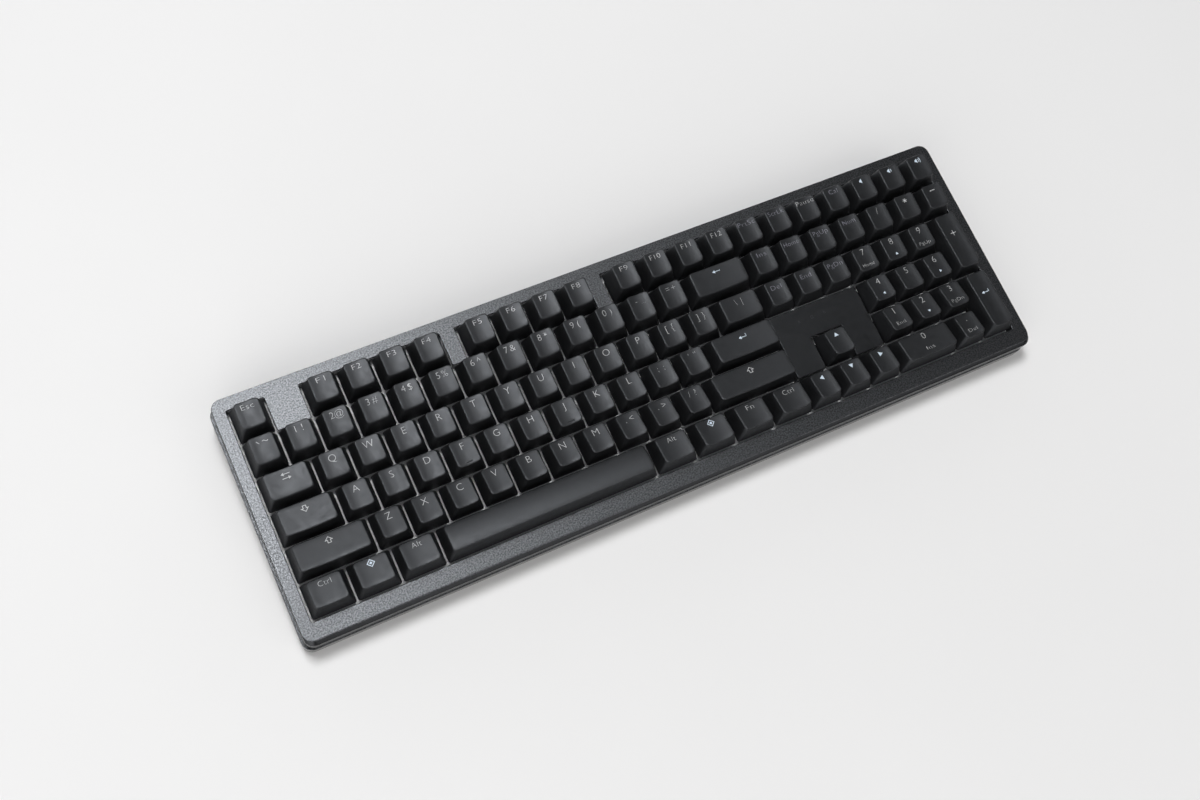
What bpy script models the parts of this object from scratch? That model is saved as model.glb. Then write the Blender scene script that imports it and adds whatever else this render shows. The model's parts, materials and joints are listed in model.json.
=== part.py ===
"""A full-size mechanical keyboard: 108 keys on a 19.05 mm grid, in a shallow two-part case on rear risers.

The deck frame lies in the top face of the case: X to the right from the left edge of the key field,
Y to the rear from its front edge, Z up out of the deck. The deck empty tilts that frame up to the
typing angle and places it over the desk. What is level with the desk is modelled in world axes.
"""

import math

import bmesh
import bpy
from mathutils import Matrix, Vector

MM = 0.001

# Key field
PITCH = 19.05 * MM
COLUMNS, ROWS = 22, 6
FIELD_X, FIELD_Y = COLUMNS * PITCH, ROWS * PITCH
TRAVEL = 4.0 * MM
GAP = 0.3 * MM  # between pieces that touch in the real object

# Stance
TILT = math.radians(5.5)
DECK_HEIGHT = 19.3 * MM  # of the deck frame's origin over the desk
DECK_BACK = -56.637 * MM  # puts the middle of the keyboard over the world's origin
BASE_CLEARANCE = 1.2 * MM  # from the desk to the level underside of the risers

# Case, in the deck frame
MARGIN_SIDE, MARGIN_FRONT, MARGIN_REAR = 7.5 * MM, 9.2 * MM, 7.4 * MM
DRAFT_SIDE, DRAFT_FRONT = 0.5 * MM, 2.4 * MM
CORNER_RADIUS, EDGE_RADIUS = 5.5 * MM, 0.8 * MM
PARTING_Z = -9.5 * MM
TOP_SKIN, WALL, LIP = 2.4 * MM, 2.2 * MM, 1.6 * MM
OPENING_GAP = 0.45 * MM
BASE_Z, FLOOR = -17.4 * MM, 2.0 * MM  # underside of the base, parallel to the deck, and its thickness
RISER_LENGTH, RISER_FRONT_Y = 70.0 * MM, 107.5 * MM  # the two blocks that lift the rear corners

# Stack under the deck
PLATE_TOP, PLATE_THICK = -7.0 * MM, 1.5 * MM
BOARD_TOP, BOARD_THICK = PLATE_TOP - 5.0 * MM, 1.6 * MM
SWITCH_TOP = PLATE_TOP + 6.6 * MM
PLATE_HOLE, SWITCH_BODY, SWITCH_HEAD = 14.0 * MM, 13.4 * MM, 10.6 * MM
STEM_WELL, STEM_WELL_FLOOR = 6.2 * MM, -8.6 * MM
WEB_THICK = 0.8 * MM

# Keycaps
CAP_GAP = 0.95 * MM  # between the skirts of neighbours
SKIRT_Z = -0.5 * MM
SKIRT_WALL, CEILING_WALL, CEILING_THICK = 1.4 * MM, 1.2 * MM, 1.3 * MM
TOP_INSET_X = 3.63 * MM
DISH, CROWN = 0.7 * MM, 0.9 * MM
STEM, STEM_FOOT = 5.4 * MM, -3.4 * MM
# Row, counted from the front: heights of the top's rear and front edges, and their places in the cell.
CAP_PROFILE = {
    0: (8.4 * MM, 11.4 * MM, 3.3 * MM, 2.4 * MM),
    1: (9.0 * MM, 12.2 * MM, 3.3 * MM, 2.3 * MM),
    2: (8.6 * MM, 10.4 * MM, 3.5 * MM, 2.2 * MM),
    3: (9.6 * MM, 9.6 * MM, 3.6 * MM, 2.0 * MM),
    4: (12.1 * MM, 11.6 * MM, 3.6 * MM, 1.9 * MM),
    5: (12.3 * MM, 11.9 * MM, 3.9 * MM, 1.8 * MM),
}

# Stabilisers under the wide keys
WIRE_RADIUS, WIRE_BEND = 0.8 * MM, 1.2 * MM
WIRE_Y, WIRE_Z, WIRE_ARM = 8.4 * MM, -6.0 * MM, 8.4 * MM
STABILISER_REACH, SPACE_REACH = 11.9 * MM, 50.0 * MM
STABILISER_POST, POST_FOOT = 3.0 * MM, -0.9 * MM

# Socket for a cable, on the rear edge under the circuit board
SOCKET_SIZE = Vector((8.94, 7.35, 3.26)) * MM
SOCKET_WALL, SOCKET_DEPTH = 0.35 * MM, 6.2 * MM
TONGUE_X, TONGUE_Z, TONGUE_LENGTH = 6.7 * MM, 0.7 * MM, 5.4 * MM
SOCKET_REAR = FIELD_Y + MARGIN_REAR - 0.2 * MM
SOCKET_X, SOCKET_LOW = 40.0 * MM, BOARD_TOP - BOARD_THICK - GAP - SOCKET_SIZE.z

# Flip-out feet, folded against the base, and rubber pads
FOOT_X, FOOT_Y, FOOT_Z = 24.0 * MM, 101.0 * MM, BASE_Z + 1.5 * MM
FOOT_WIDTH, FOOT_LENGTH, FOOT_THICK, FOOT_PIN = 16.0 * MM, 22.0 * MM, 2.6 * MM, 1.0 * MM
PIN_REACH = 1.5 * MM  # of each pin past the pocket's wall
POCKET_GAP, POCKET_DEPTH, POCKET_ROOF, POCKET_WALL = 0.5 * MM, 3.1 * MM, 0.4 * MM, 2.4 * MM
PAD_LENGTH, PAD_DEPTH, PAD_HEIGHT, PAD_RECESS = 34.0 * MM, 8.0 * MM, 1.7 * MM, 0.8 * MM
PAD_FRONT_X, PAD_FRONT_Y = 27.0 * MM, -2.0 * MM
PAD_REAR_X, PAD_REAR_Y = 182.5 * MM, 60.2 * MM  # in world axes, under the risers

# Where each key stands: the cell where it starts, its width in cells, and its row from the front.
LETTER_ROWS = ((3, 1.5, "qwertyuiop"), (2, 1.75, "asdfghjkl"), (1, 2.25, "zxcvbnm"))
WIDE_KEYS = {
    "key_esc": (0, 1, 5),
    "key_tab": (0, 1.5, 3),
    "key_caps_lock": (0, 1.75, 2),
    "key_left_shift": (0, 2.25, 1),
    "key_right_shift": (12.25, 2.75, 1),
    "key_enter": (12.75, 2.25, 2),
    "key_space": (3.75, 6.25, 0),
}
STABILISED = {
    "key_left_shift": STABILISER_REACH,
    "key_right_shift": STABILISER_REACH,
    "key_enter": STABILISER_REACH,
    "key_space": SPACE_REACH,
}
# Keys that move together, as (cell, width, row) or (cell, width, row, depth in cells).
BANKS = {
    "keys_function_left": [(2 + i, 1, 5) for i in range(4)],
    "keys_function_middle": [(6.5 + i, 1, 5) for i in range(4)],
    "keys_function_right": [(11 + i, 1, 5) for i in range(11)],
    "keys_number_row": [(i, 1, 4) for i in range(13)] + [(13, 2, 4)],
    "keys_punctuation": [
        (11.5, 1, 3),
        (12.5, 1, 3),
        (13.5, 1.5, 3),
        (10.75, 1, 2),
        (11.75, 1, 2),
        (9.25, 1, 1),
        (10.25, 1, 1),
        (11.25, 1, 1),
    ],
    "keys_left_modifiers": [(1.25 * i, 1.25, 0) for i in range(3)],
    "keys_right_modifiers": [(10 + 1.25 * i, 1.25, 0) for i in range(4)],
    "keys_arrows": [(15, 1, 0), (16, 1, 0), (17, 1, 0), (16, 1, 1)],
    "keys_navigation": [(15 + i, 1, row) for row in (3, 4) for i in range(3)],
    "keys_numpad": [(18 + i, 1, 4) for i in range(4)]
    + [(18 + i, 1, row) for row in (1, 2, 3) for i in range(3)]
    + [(21, 1, 2, 2), (21, 1, 0, 2), (18, 2, 0), (20, 1, 0)],
}
# Where the keys of a bank are joined across the gap, as (x, y) in cells.
SIDE_LINKS = {
    "keys_function_left": [(3 + i, 5.5) for i in range(3)],
    "keys_function_middle": [(7.5 + i, 5.5) for i in range(3)],
    "keys_function_right": [(12 + i, 5.5) for i in range(10)],
    "keys_number_row": [(1 + i, 4.5) for i in range(13)],
    "keys_punctuation": [(12.5, 3.5), (13.5, 3.5), (11.75, 2.5), (10.25, 1.5), (11.25, 1.5)],
    "keys_left_modifiers": [(1.25, 0.5), (2.5, 0.5)],
    "keys_right_modifiers": [(11.25, 0.5), (12.5, 0.5), (13.75, 0.5)],
    "keys_arrows": [(16, 0.5), (17, 0.5)],
    "keys_navigation": [(16, 3.5), (17, 3.5), (16, 4.5), (17, 4.5)],
    "keys_numpad": [(x, y + 0.5) for x in (19, 20) for y in (1, 2, 3, 4)]
    + [(20, 0.5), (21, 0.5), (21, 2.5), (21, 4.5)],
}
REAR_LINKS = {
    "keys_punctuation": [(12.1, 3), (11.5, 2)],
    "keys_arrows": [(16.5, 1)],
    "keys_navigation": [(16.5, 4)],
    "keys_numpad": [(19.5, 4), (19.5, 3), (19.5, 2), (19.5, 1)],
}
LINK_LENGTH, LINK_WIDTH, LINK_HEIGHT = 2.2 * MM, 3.0 * MM, 1.3 * MM
LINK_Z = SKIRT_Z + 0.9 * MM  # middle of a link


def clear_scene():
    for old in list(bpy.data.objects):
        bpy.data.objects.remove(old, do_unlink=True)


def new_collection(name):
    made = bpy.data.collections.new(name)
    bpy.context.scene.collection.children.link(made)
    return made


def plain_material(name, color, roughness, metallic=0.0):
    made = bpy.data.materials.new(name)
    made.use_nodes = True
    shader = made.node_tree.nodes["Principled BSDF"]
    shader.inputs["Base Color"].default_value = (*color, 1.0)
    shader.inputs["Roughness"].default_value = roughness
    shader.inputs["Metallic"].default_value = metallic
    return made


def add_object(name, data, group, parent=None, location=(0.0, 0.0, 0.0), material=None):
    made = bpy.data.objects.new(name, data)
    group.objects.link(made)
    made.parent = parent
    made.location = location
    if material:
        data.materials.append(material)
    return made


def mesh_of(bm, name):
    mesh = bpy.data.meshes.new(name)
    bm.to_mesh(mesh)
    bm.free()
    return mesh


def add_box(bm, low, high):
    """A box between two corners. Returns its vertices."""
    low, high = Vector(low), Vector(high)
    placed = Matrix.Translation((low + high) / 2) @ Matrix.Diagonal((*(high - low), 1.0))
    return bmesh.ops.create_cube(bm, size=1.0, matrix=placed)["verts"]


def box_mesh(name, low, high):
    bm = bmesh.new()
    add_box(bm, low, high)
    return mesh_of(bm, name)


def add_cutter(name, mesh, parent=None, location=(0.0, 0.0, 0.0)):
    made = add_object(name, mesh, CUTTERS, parent, location)
    made.hide_render = True
    made.display_type = "WIRE"
    return made


def boolean(target, tool, operation="DIFFERENCE"):
    step = target.modifiers.new(tool.name, "BOOLEAN")
    step.operation = operation
    step.solver = "EXACT"
    step.object = tool


def face_towards(verts, axis, sign):
    """The face of a box whose vertices all lie on one side of it."""
    middle = sum((v.co for v in verts), Vector()) / len(verts)
    return next(
        f
        for f in {f for v in verts for f in v.link_faces}
        if all(sign * (v.co[axis] - middle[axis]) > 0 for v in f.verts)
    )


def set_rectangle(face, low, high):
    """Moves the four corners of a face that looks along Z to a rectangle between two (x, y, z) corners."""
    middle = face.calc_center_median()
    for v in face.verts:
        v.co.x = high[0] if v.co.x > middle.x else low[0]
        v.co.z = high[2] if v.co.y > middle.y else low[2]
        v.co.y = high[1] if v.co.y > middle.y else low[1]


def set_square(face, centre, half, z):
    """Moves a face that looks along Z to a level square about a centre."""
    set_rectangle(face, (centre.x - half, centre.y - half, z), (centre.x + half, centre.y + half, z))


def sunk_face(bm, face, depth):
    """Extrudes a face and moves the new one down by depth, or up if that is negative."""
    sunk = bmesh.ops.extrude_discrete_faces(bm, faces=[face])["faces"][0]
    bmesh.ops.translate(bm, verts=sunk.verts, vec=(0.0, 0.0, -depth))
    return sunk


def prism(name, outlines, low, high):
    """A solid between two heights with a flat outline. Outlines after the first are holes in it."""
    flat = bpy.data.curves.new(name, "CURVE")
    flat.dimensions = "2D"
    flat.fill_mode = "BOTH"
    flat.extrude = (high - low) / 2
    for outline in outlines:
        line = flat.splines.new("POLY")
        line.points.add(len(outline) - 1)
        line.use_cyclic_u = True
        for point, (x, y) in zip(line.points, outline, strict=True):
            point.co = (x, y, 0.0, 1.0)
    shape = bpy.data.objects.new(name, flat)
    bpy.context.scene.collection.objects.link(shape)
    settled = shape.evaluated_get(bpy.context.evaluated_depsgraph_get())
    mesh = bpy.data.meshes.new_from_object(settled)
    bpy.data.objects.remove(shape, do_unlink=True)
    bm = bmesh.new()
    bm.from_mesh(mesh)
    bmesh.ops.remove_doubles(bm, verts=bm.verts, dist=0.01 * MM)
    bmesh.ops.translate(bm, verts=bm.verts, vec=(0.0, 0.0, (high + low) / 2))
    bmesh.ops.recalc_face_normals(bm, faces=bm.faces)
    bm.to_mesh(mesh)
    bm.free()
    return mesh


def rectangle(x0, x1, y0, y1):
    return [(x0, y0), (x1, y0), (x1, y1), (x0, y1)]


# Keys


def cell_centre(cell, width, row, depth=1):
    return Vector(((cell + width / 2) * PITCH, (row + depth / 2) * PITCH, 0.0))


def ceiling_of(row, depth=1):
    """The height of the hollow inside a keycap."""
    lowest = min(CAP_PROFILE[row][1], CAP_PROFILE[row + depth - 1][0])
    return lowest - DISH - CEILING_THICK


def add_cap(bm, at, width, row, depth=1, crowned=False):
    """One hollow keycap with its stem, open below, with the middle of its cell at the given place."""
    rear_z = CAP_PROFILE[row + depth - 1][0]
    _, front_z, front_y, rear_y = CAP_PROFILE[row]
    half_x, half_y = width * PITCH / 2, depth * PITCH / 2
    top_x = half_x - TOP_INSET_X
    top_low = Vector((-top_x, front_y - half_y, front_z))
    top_high = Vector((top_x, half_y - rear_y, rear_z))
    skirt = Vector((half_x - CAP_GAP / 2, half_y - CAP_GAP / 2, 0.0))

    verts = list(add_box(bm, (*(-skirt).xy, SKIRT_Z), (*skirt.xy, min(front_z, rear_z))))
    top, bottom = face_towards(verts, 2, 1), face_towards(verts, 2, -1)
    set_rectangle(top, top_low, top_high)

    bmesh.ops.inset_individual(bm, faces=[bottom], thickness=SKIRT_WALL, use_even_offset=True)
    ceiling = sunk_face(bm, bottom, 0.0)
    ceiling_z = ceiling_of(row, depth)
    wall = Vector((CEILING_WALL, CEILING_WALL, 0.0))
    inner_low, inner_high = top_low + wall, top_high - wall
    inner_low.z = inner_high.z = ceiling_z
    set_rectangle(ceiling, inner_low, inner_high)
    bmesh.ops.inset_individual(bm, faces=[ceiling], thickness=0.5 * MM)
    set_square(ceiling, Vector(), STEM / 2, ceiling_z)
    stem = sunk_face(bm, ceiling, ceiling_z - STEM_FOOT)

    along = 1 if crowned else 0
    ridges = [e for e in top.edges if abs((e.verts[0].co - e.verts[1].co)[along]) > PITCH / 4]
    cut = bmesh.ops.subdivide_edges(bm, edges=ridges, cuts=2)
    lines = [v for v in cut["geom_inner"] if isinstance(v, bmesh.types.BMVert)]
    for v in lines:
        v.co.z += CROWN if crowned else -DISH * 0.9
        v.co[along] *= 1.0 if crowned else 0.6

    made = {v for f in (top, stem) for v in f.verts}
    reach = list(made)
    while reach:
        for edge in reach.pop().link_edges:
            for v in edge.verts:
                if v not in made:
                    made.add(v)
                    reach.append(v)
    bmesh.ops.translate(bm, verts=list(made), vec=at)


def add_stabiliser_posts(bm, at, reach, ceiling_z, upright=False):
    """The two outer posts of a wide key, which its wire keeps level."""
    half = STABILISER_POST / 2
    for side in (-reach, reach):
        x, y = (0.0, side) if upright else (side, 0.0)
        low = Vector((x - half, y - half, POST_FOOT))
        high = Vector((x + half, y + half, ceiling_z + 0.5 * MM))
        add_box(bm, at + low, at + high)


def make_key(name, cell, width, row):
    """One key that moves on its own, with its origin in the middle of its cell at deck height."""
    bm = bmesh.new()
    add_cap(bm, Vector(), width, row, crowned=name == "key_space")
    place = cell_centre(cell, width, row)
    key = add_object(name, mesh_of(bm, name), PARTS, DECK, place, CAP_PLASTIC)
    if name in STABILISED:
        extra = bmesh.new()
        add_stabiliser_posts(extra, Vector(), STABILISED[name], ceiling_of(row))
        boolean(key, add_cutter(f"{name}_posts", mesh_of(extra, name), DECK, place), "UNION")
    return key


def make_bank(name, cells):
    """Keys that move together, joined by short links between their skirts."""
    first = cell_centre(*cells[0])
    caps, extras = bmesh.new(), bmesh.new()
    for cell, width, row, *rest in cells:
        depth = rest[0] if rest else 1
        at = cell_centre(cell, width, row, depth) - first
        add_cap(caps, at, width, row, depth)
        if width >= 2 or depth == 2:
            add_stabiliser_posts(extras, at, STABILISER_REACH, ceiling_of(row, depth), depth == 2)
    side = Vector((LINK_LENGTH, LINK_WIDTH, LINK_HEIGHT)) / 2
    rear = Vector((LINK_WIDTH, LINK_LENGTH, LINK_HEIGHT)) / 2
    for links, half in ((SIDE_LINKS, side), (REAR_LINKS, rear)):
        for x, y in links.get(name, []):
            middle = Vector((x * PITCH, y * PITCH, LINK_Z)) - first
            add_box(extras, middle - half, middle + half)
    bank = add_object(name, mesh_of(caps, name), PARTS, DECK, first, CAP_PLASTIC)
    boolean(bank, add_cutter(f"{name}_links", mesh_of(extras, name), DECK, first), "UNION")
    return bank


def letter_cells():
    """(name, cell, width, row) of the letter keys."""
    return [
        (f"key_{letter}", start + i, 1, row)
        for row, start, letters in LETTER_ROWS
        for i, letter in enumerate(letters)
    ]


def single_keys():
    return letter_cells() + [(name, *place) for name, place in WIDE_KEYS.items()]


def switch_centres():
    """The middle of every key's cell: one switch stands at each."""
    single = [cell_centre(*place) for _, *place in single_keys()]
    return single + [cell_centre(*place) for cells in BANKS.values() for place in cells]


# Under the keys


def make_switch_plate():
    low = (-MARGIN_SIDE + WALL + GAP, -MARGIN_FRONT + WALL, PLATE_TOP - PLATE_THICK)
    high = (FIELD_X + MARGIN_SIDE - WALL - GAP, FIELD_Y + MARGIN_REAR - WALL - GAP, PLATE_TOP)
    plate = add_object("switch_plate", box_mesh("plate", low, high), PARTS, DECK, material=PLATE_PAINT)
    holes = bmesh.new()
    half = Vector((PLATE_HOLE / 2, PLATE_HOLE / 2, PLATE_THICK))
    middle = Vector((0.0, 0.0, PLATE_TOP - PLATE_THICK / 2))
    for centre in switch_centres():
        add_box(holes, centre + middle - half, centre + middle + half)
    boolean(plate, add_cutter("plate_holes", mesh_of(holes, "holes"), DECK))


def make_switch_housings():
    """The switch housings, standing on one thin web between the plate and the circuit board."""
    web_low = BOARD_TOP + GAP
    edge = 1.5 * MM
    low = (edge, edge, web_low)
    high = (FIELD_X - edge, FIELD_Y - edge, web_low + WEB_THICK)
    mesh = box_mesh("web", low, high)
    housings = add_object("switch_housings", mesh, PARTS, DECK, material=SWITCH_PLASTIC)
    towers = bmesh.new()
    for centre in switch_centres():
        half, head, well = SWITCH_BODY / 2, SWITCH_HEAD / 2, STEM_WELL / 2
        foot = Vector((half, half, 0.0))
        low, high = centre - foot, centre + foot
        low.z, high.z = web_low + WEB_THICK / 2, SWITCH_TOP
        crown = face_towards(add_box(towers, low, high), 2, 1)
        set_square(crown, centre, head, SWITCH_TOP)
        bmesh.ops.inset_individual(towers, faces=[crown], thickness=0.5 * MM)
        set_square(crown, centre, well, SWITCH_TOP)
        sunk_face(towers, crown, SWITCH_TOP - STEM_WELL_FLOOR)
    boolean(housings, add_cutter("switch_towers", mesh_of(towers, "towers"), DECK), "UNION")


def make_circuit_board():
    edge = 1.0 * MM
    low = (-edge, -edge, BOARD_TOP - BOARD_THICK)
    high = (FIELD_X + edge, FIELD_Y + edge, BOARD_TOP)
    add_object("circuit_board", box_mesh("board", low, high), PARTS, DECK, material=BOARD_LACQUER)


def make_stabiliser_wire(key_name, cell, width, row):
    """A wire across the rear of a wide key: it turns about its long run while its arms follow the key."""
    name = key_name.replace("key_", "wire_")
    reach = STABILISED[key_name]
    rise = math.asin(TRAVEL / WIRE_ARM)
    wire = bpy.data.curves.new(name, "CURVE")
    wire.dimensions = "3D"
    wire.bevel_depth = WIRE_RADIUS
    wire.bevel_resolution = 1
    wire.use_fill_caps = True
    left = [(-reach, WIRE_ARM), (-reach, WIRE_BEND), (WIRE_BEND - reach, 0.0)]
    flat = left + [(-x, back) for x, back in reversed(left)]
    line = wire.splines.new("POLY")
    line.points.add(len(flat) - 1)
    for point, (x, out) in zip(line.points, flat, strict=True):
        point.co = (x, -out * math.cos(rise), out * math.sin(rise), 1.0)
    place = cell_centre(cell, width, row) + Vector((0.0, WIRE_Y, WIRE_Z))
    add_object(name, wire, PARTS, DECK, place, WIRE_STEEL)


def make_usb_socket():
    """A thin steel shell, open to the rear, with the contact tongue in its middle."""
    bm = bmesh.new()
    low = Vector((SOCKET_X - SOCKET_SIZE.x / 2, SOCKET_REAR - SOCKET_SIZE.y, SOCKET_LOW))
    high = low + SOCKET_SIZE
    middle = (low + high) / 2
    mouth = face_towards(add_box(bm, low, high), 1, 1)
    bmesh.ops.inset_individual(bm, faces=[mouth], thickness=SOCKET_WALL, use_even_offset=True)
    back = bmesh.ops.extrude_discrete_faces(bm, faces=[mouth])["faces"][0]
    bmesh.ops.translate(bm, verts=back.verts, vec=(0.0, -SOCKET_DEPTH, 0.0))
    bmesh.ops.inset_individual(bm, faces=[back], thickness=SOCKET_WALL)
    for v in back.verts:
        v.co.x = middle.x + math.copysign(TONGUE_X / 2, v.co.x - middle.x)
        v.co.z = middle.z + math.copysign(TONGUE_Z / 2, v.co.z - middle.z)
    tip = bmesh.ops.extrude_discrete_faces(bm, faces=[back])["faces"][0]
    bmesh.ops.translate(bm, verts=tip.verts, vec=(0.0, TONGUE_LENGTH, 0.0))
    add_object("usb_c_socket", mesh_of(bm, "socket"), PARTS, DECK, material=SOCKET_STEEL)


# Case


def case_block(inset, low_z, high_z):
    """A block with the case's outline at its parting line, drawn in by the inset."""
    bm = bmesh.new()
    low = (inset - MARGIN_SIDE - DRAFT_SIDE, inset - MARGIN_FRONT - DRAFT_FRONT, low_z)
    high = (FIELD_X + MARGIN_SIDE + DRAFT_SIDE - inset, FIELD_Y + MARGIN_REAR - inset, high_z)
    verts = add_box(bm, low, high)
    return bm, verts


def round_corners(bm, radius):
    upright = [e for e in bm.edges if abs((e.verts[0].co - e.verts[1].co).z) > 5 * MM]
    bmesh.ops.bevel(bm, geom=upright, offset=radius, segments=4, affect="EDGES", profile=0.5)


def perimeter(bm, height):
    """The edges that lie at one height, within a hair."""
    return [e for e in bm.edges if all(abs(v.co.z - height) < 0.01 * MM for v in e.verts)]


def make_top_case():
    """The bezel: a skin with an outer wall, and a lip round the key field that reaches to the plate."""
    bm, verts = case_block(0.0, PARTING_Z, 0.0)
    top = face_towards(verts, 2, 1)
    low = (-MARGIN_SIDE, -MARGIN_FRONT, 0.0)
    set_rectangle(top, low, (FIELD_X + MARGIN_SIDE, FIELD_Y + MARGIN_REAR, 0.0))
    round_corners(bm, CORNER_RADIUS)
    bmesh.ops.bevel(bm, geom=perimeter(bm, 0.0), offset=EDGE_RADIUS, segments=2, affect="EDGES", profile=0.5)
    case = add_object("top_case", mesh_of(bm, "top_case"), PARTS, DECK, material=CASE_PLASTIC)

    under = PLATE_TOP + GAP
    walls = (
        WALL - MARGIN_SIDE,
        FIELD_X + MARGIN_SIDE - WALL,
        WALL - MARGIN_FRONT - GAP,
        FIELD_Y + MARGIN_REAR - WALL,
    )
    space = box_mesh("under_space", (walls[0], walls[2], PARTING_Z - MM), (walls[1], walls[3], under))
    boolean(case, add_cutter("under_space", space, DECK))
    edge = OPENING_GAP + LIP
    lip = rectangle(-edge, FIELD_X + edge, -edge, FIELD_Y + edge)
    channel = prism("channel", [rectangle(*walls), lip], under - 0.2 * MM, -TOP_SKIN)
    boolean(case, add_cutter("channel", channel, DECK))
    field = prism("field", [field_outline()], PARTING_Z - MM, MM)
    boolean(case, add_cutter("key_field", field, DECK))


def field_outline():
    """The opening for the keys. Three tabs of the bezel fill the gaps in the rear row."""
    g = OPENING_GAP
    rear, tab_y = FIELD_Y + g, (ROWS - 1) * PITCH + g
    points = [(-g, -g), (FIELD_X + g, -g), (FIELD_X + g, rear)]
    for start, end in ((11.0, 10.5), (6.5, 6.0), (2.0, 1.0)):
        right, left = start * PITCH - g, end * PITCH + g
        points += [(right, rear), (right, tab_y), (left, tab_y), (left, rear)]
    return points + [(-g, rear)]


def make_nav_cover():
    """The cover between the navigation keys and the arrows, a shallow cap notched round the upper arrow."""
    g, rise, foot = OPENING_GAP, 1.0 * MM, PLATE_TOP + GAP

    def outline(inset):
        edge = g + inset
        left, right = 15 * PITCH + edge, 18 * PITCH - edge
        front, rear = PITCH + edge, 3 * PITCH - edge
        notch_left, notch_right = 16 * PITCH - edge, 17 * PITCH + edge
        notch_top = 2 * PITCH + edge
        return [
            (left, front),
            (notch_left, front),
            (notch_left, notch_top),
            (notch_right, notch_top),
            (notch_right, front),
            (right, front),
            (right, rear),
            (left, rear),
        ]

    block = prism("nav_cover", [outline(0.0)], foot, rise)
    cover = add_object("nav_cover", block, PARTS, DECK, material=CASE_PLASTIC)
    hollow = prism("nav_hollow", [outline(LIP)], foot - MM, rise - TOP_SKIN)
    boolean(cover, add_cutter("nav_hollow", hollow, DECK))


def cut_level(bm, height):
    """Cuts a deck-frame block off along a level plane at a height over the desk, and closes it."""
    to_deck = DECK_MATRIX.inverted()
    point = to_deck @ Vector((0.0, 0.0, height))
    down = to_deck.to_3x3() @ Vector((0.0, 0.0, -1.0))
    geometry = bm.verts[:] + bm.edges[:] + bm.faces[:]
    cut = bmesh.ops.bisect_plane(bm, geom=geometry, plane_co=point, plane_no=down, clear_outer=True)
    rim = [e for e in cut["geom_cut"] if isinstance(e, bmesh.types.BMEdge)]
    bmesh.ops.holes_fill(bm, edges=rim)
    return rim


def mirrored(x):
    """The place on the right of the key field that answers to one on its left."""
    return FIELD_X - x


def make_bottom_case():
    """The base: a tray parallel to the deck, with a riser under each rear corner that stands level."""
    deep = -45 * MM
    bm, _ = case_block(0.0, deep, PARTING_Z - GAP)
    round_corners(bm, CORNER_RADIUS)
    rim = cut_level(bm, BASE_CLEARANCE)
    bmesh.ops.bevel(bm, geom=rim, offset=1.0 * MM, segments=1, affect="EDGES", profile=0.5)
    case = add_object("bottom_case", mesh_of(bm, "bottom_case"), PARTS, DECK, material=BASE_PLASTIC)

    over = 30 * MM
    inner = RISER_LENGTH - MARGIN_SIDE - DRAFT_SIDE
    belly = [
        (-over, -over),
        (FIELD_X + over, -over),
        (FIELD_X + over, RISER_FRONT_Y),
        (mirrored(inner), RISER_FRONT_Y),
        (mirrored(inner), FIELD_Y + over),
        (inner, FIELD_Y + over),
        (inner, RISER_FRONT_Y),
        (-over, RISER_FRONT_Y),
    ]
    boolean(case, add_cutter("belly", prism("belly", [belly], deep, BASE_Z), DECK))
    bm, _ = case_block(WALL, BASE_Z + FLOOR, 0.0)
    round_corners(bm, CORNER_RADIUS - WALL)
    boolean(case, add_cutter("tray_space", mesh_of(bm, "tray"), DECK))
    boolean(case, add_cutter("inner_features", mesh_of(base_features(), "features"), DECK), "UNION")
    boolean(case, add_cutter("floor_recesses", mesh_of(floor_recesses(), "recesses"), DECK))
    boolean(case, add_cutter("riser_recesses", mesh_of(riser_recesses(), "seats")))
    boolean(case, add_cutter("pin_bores", mesh_of(pin_bores(), "bores"), DECK))
    low = (SOCKET_X - SOCKET_SIZE.x / 2 - GAP, SOCKET_REAR - SOCKET_SIZE.y - GAP, SOCKET_LOW - GAP)
    high = (SOCKET_X + SOCKET_SIZE.x / 2 + GAP, SOCKET_REAR + 4 * MM, SOCKET_LOW + SOCKET_SIZE.z + GAP)
    boolean(case, add_cutter("socket_port", box_mesh("port", low, high), DECK))


def base_features():
    """The roofs of the foot pockets and the posts under the circuit board, all standing in the floor."""
    bm = bmesh.new()
    in_floor = BASE_Z + FLOOR / 2
    x, y = FOOT_WIDTH / 2 + POCKET_GAP + POCKET_WALL, POCKET_GAP + POCKET_WALL
    for middle in (FOOT_X, mirrored(FOOT_X)):
        low = (middle - x, FOOT_Y - FOOT_LENGTH - y, in_floor)
        high = (middle + x, FOOT_Y + FOOT_THICK / 2 + y, BASE_Z + POCKET_DEPTH + POCKET_ROOF)
        add_box(bm, low, high)
    top = BOARD_TOP - BOARD_THICK - GAP
    for cell in (4, 11, 18):
        for row in (1, 5):
            placed = Matrix.Translation((cell * PITCH, row * PITCH, (top + in_floor) / 2))
            height, radius = top - in_floor, 3 * MM
            bmesh.ops.create_cone(
                bm, cap_ends=True, segments=12, radius1=radius, radius2=radius, depth=height, matrix=placed
            )
    return bm


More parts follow.
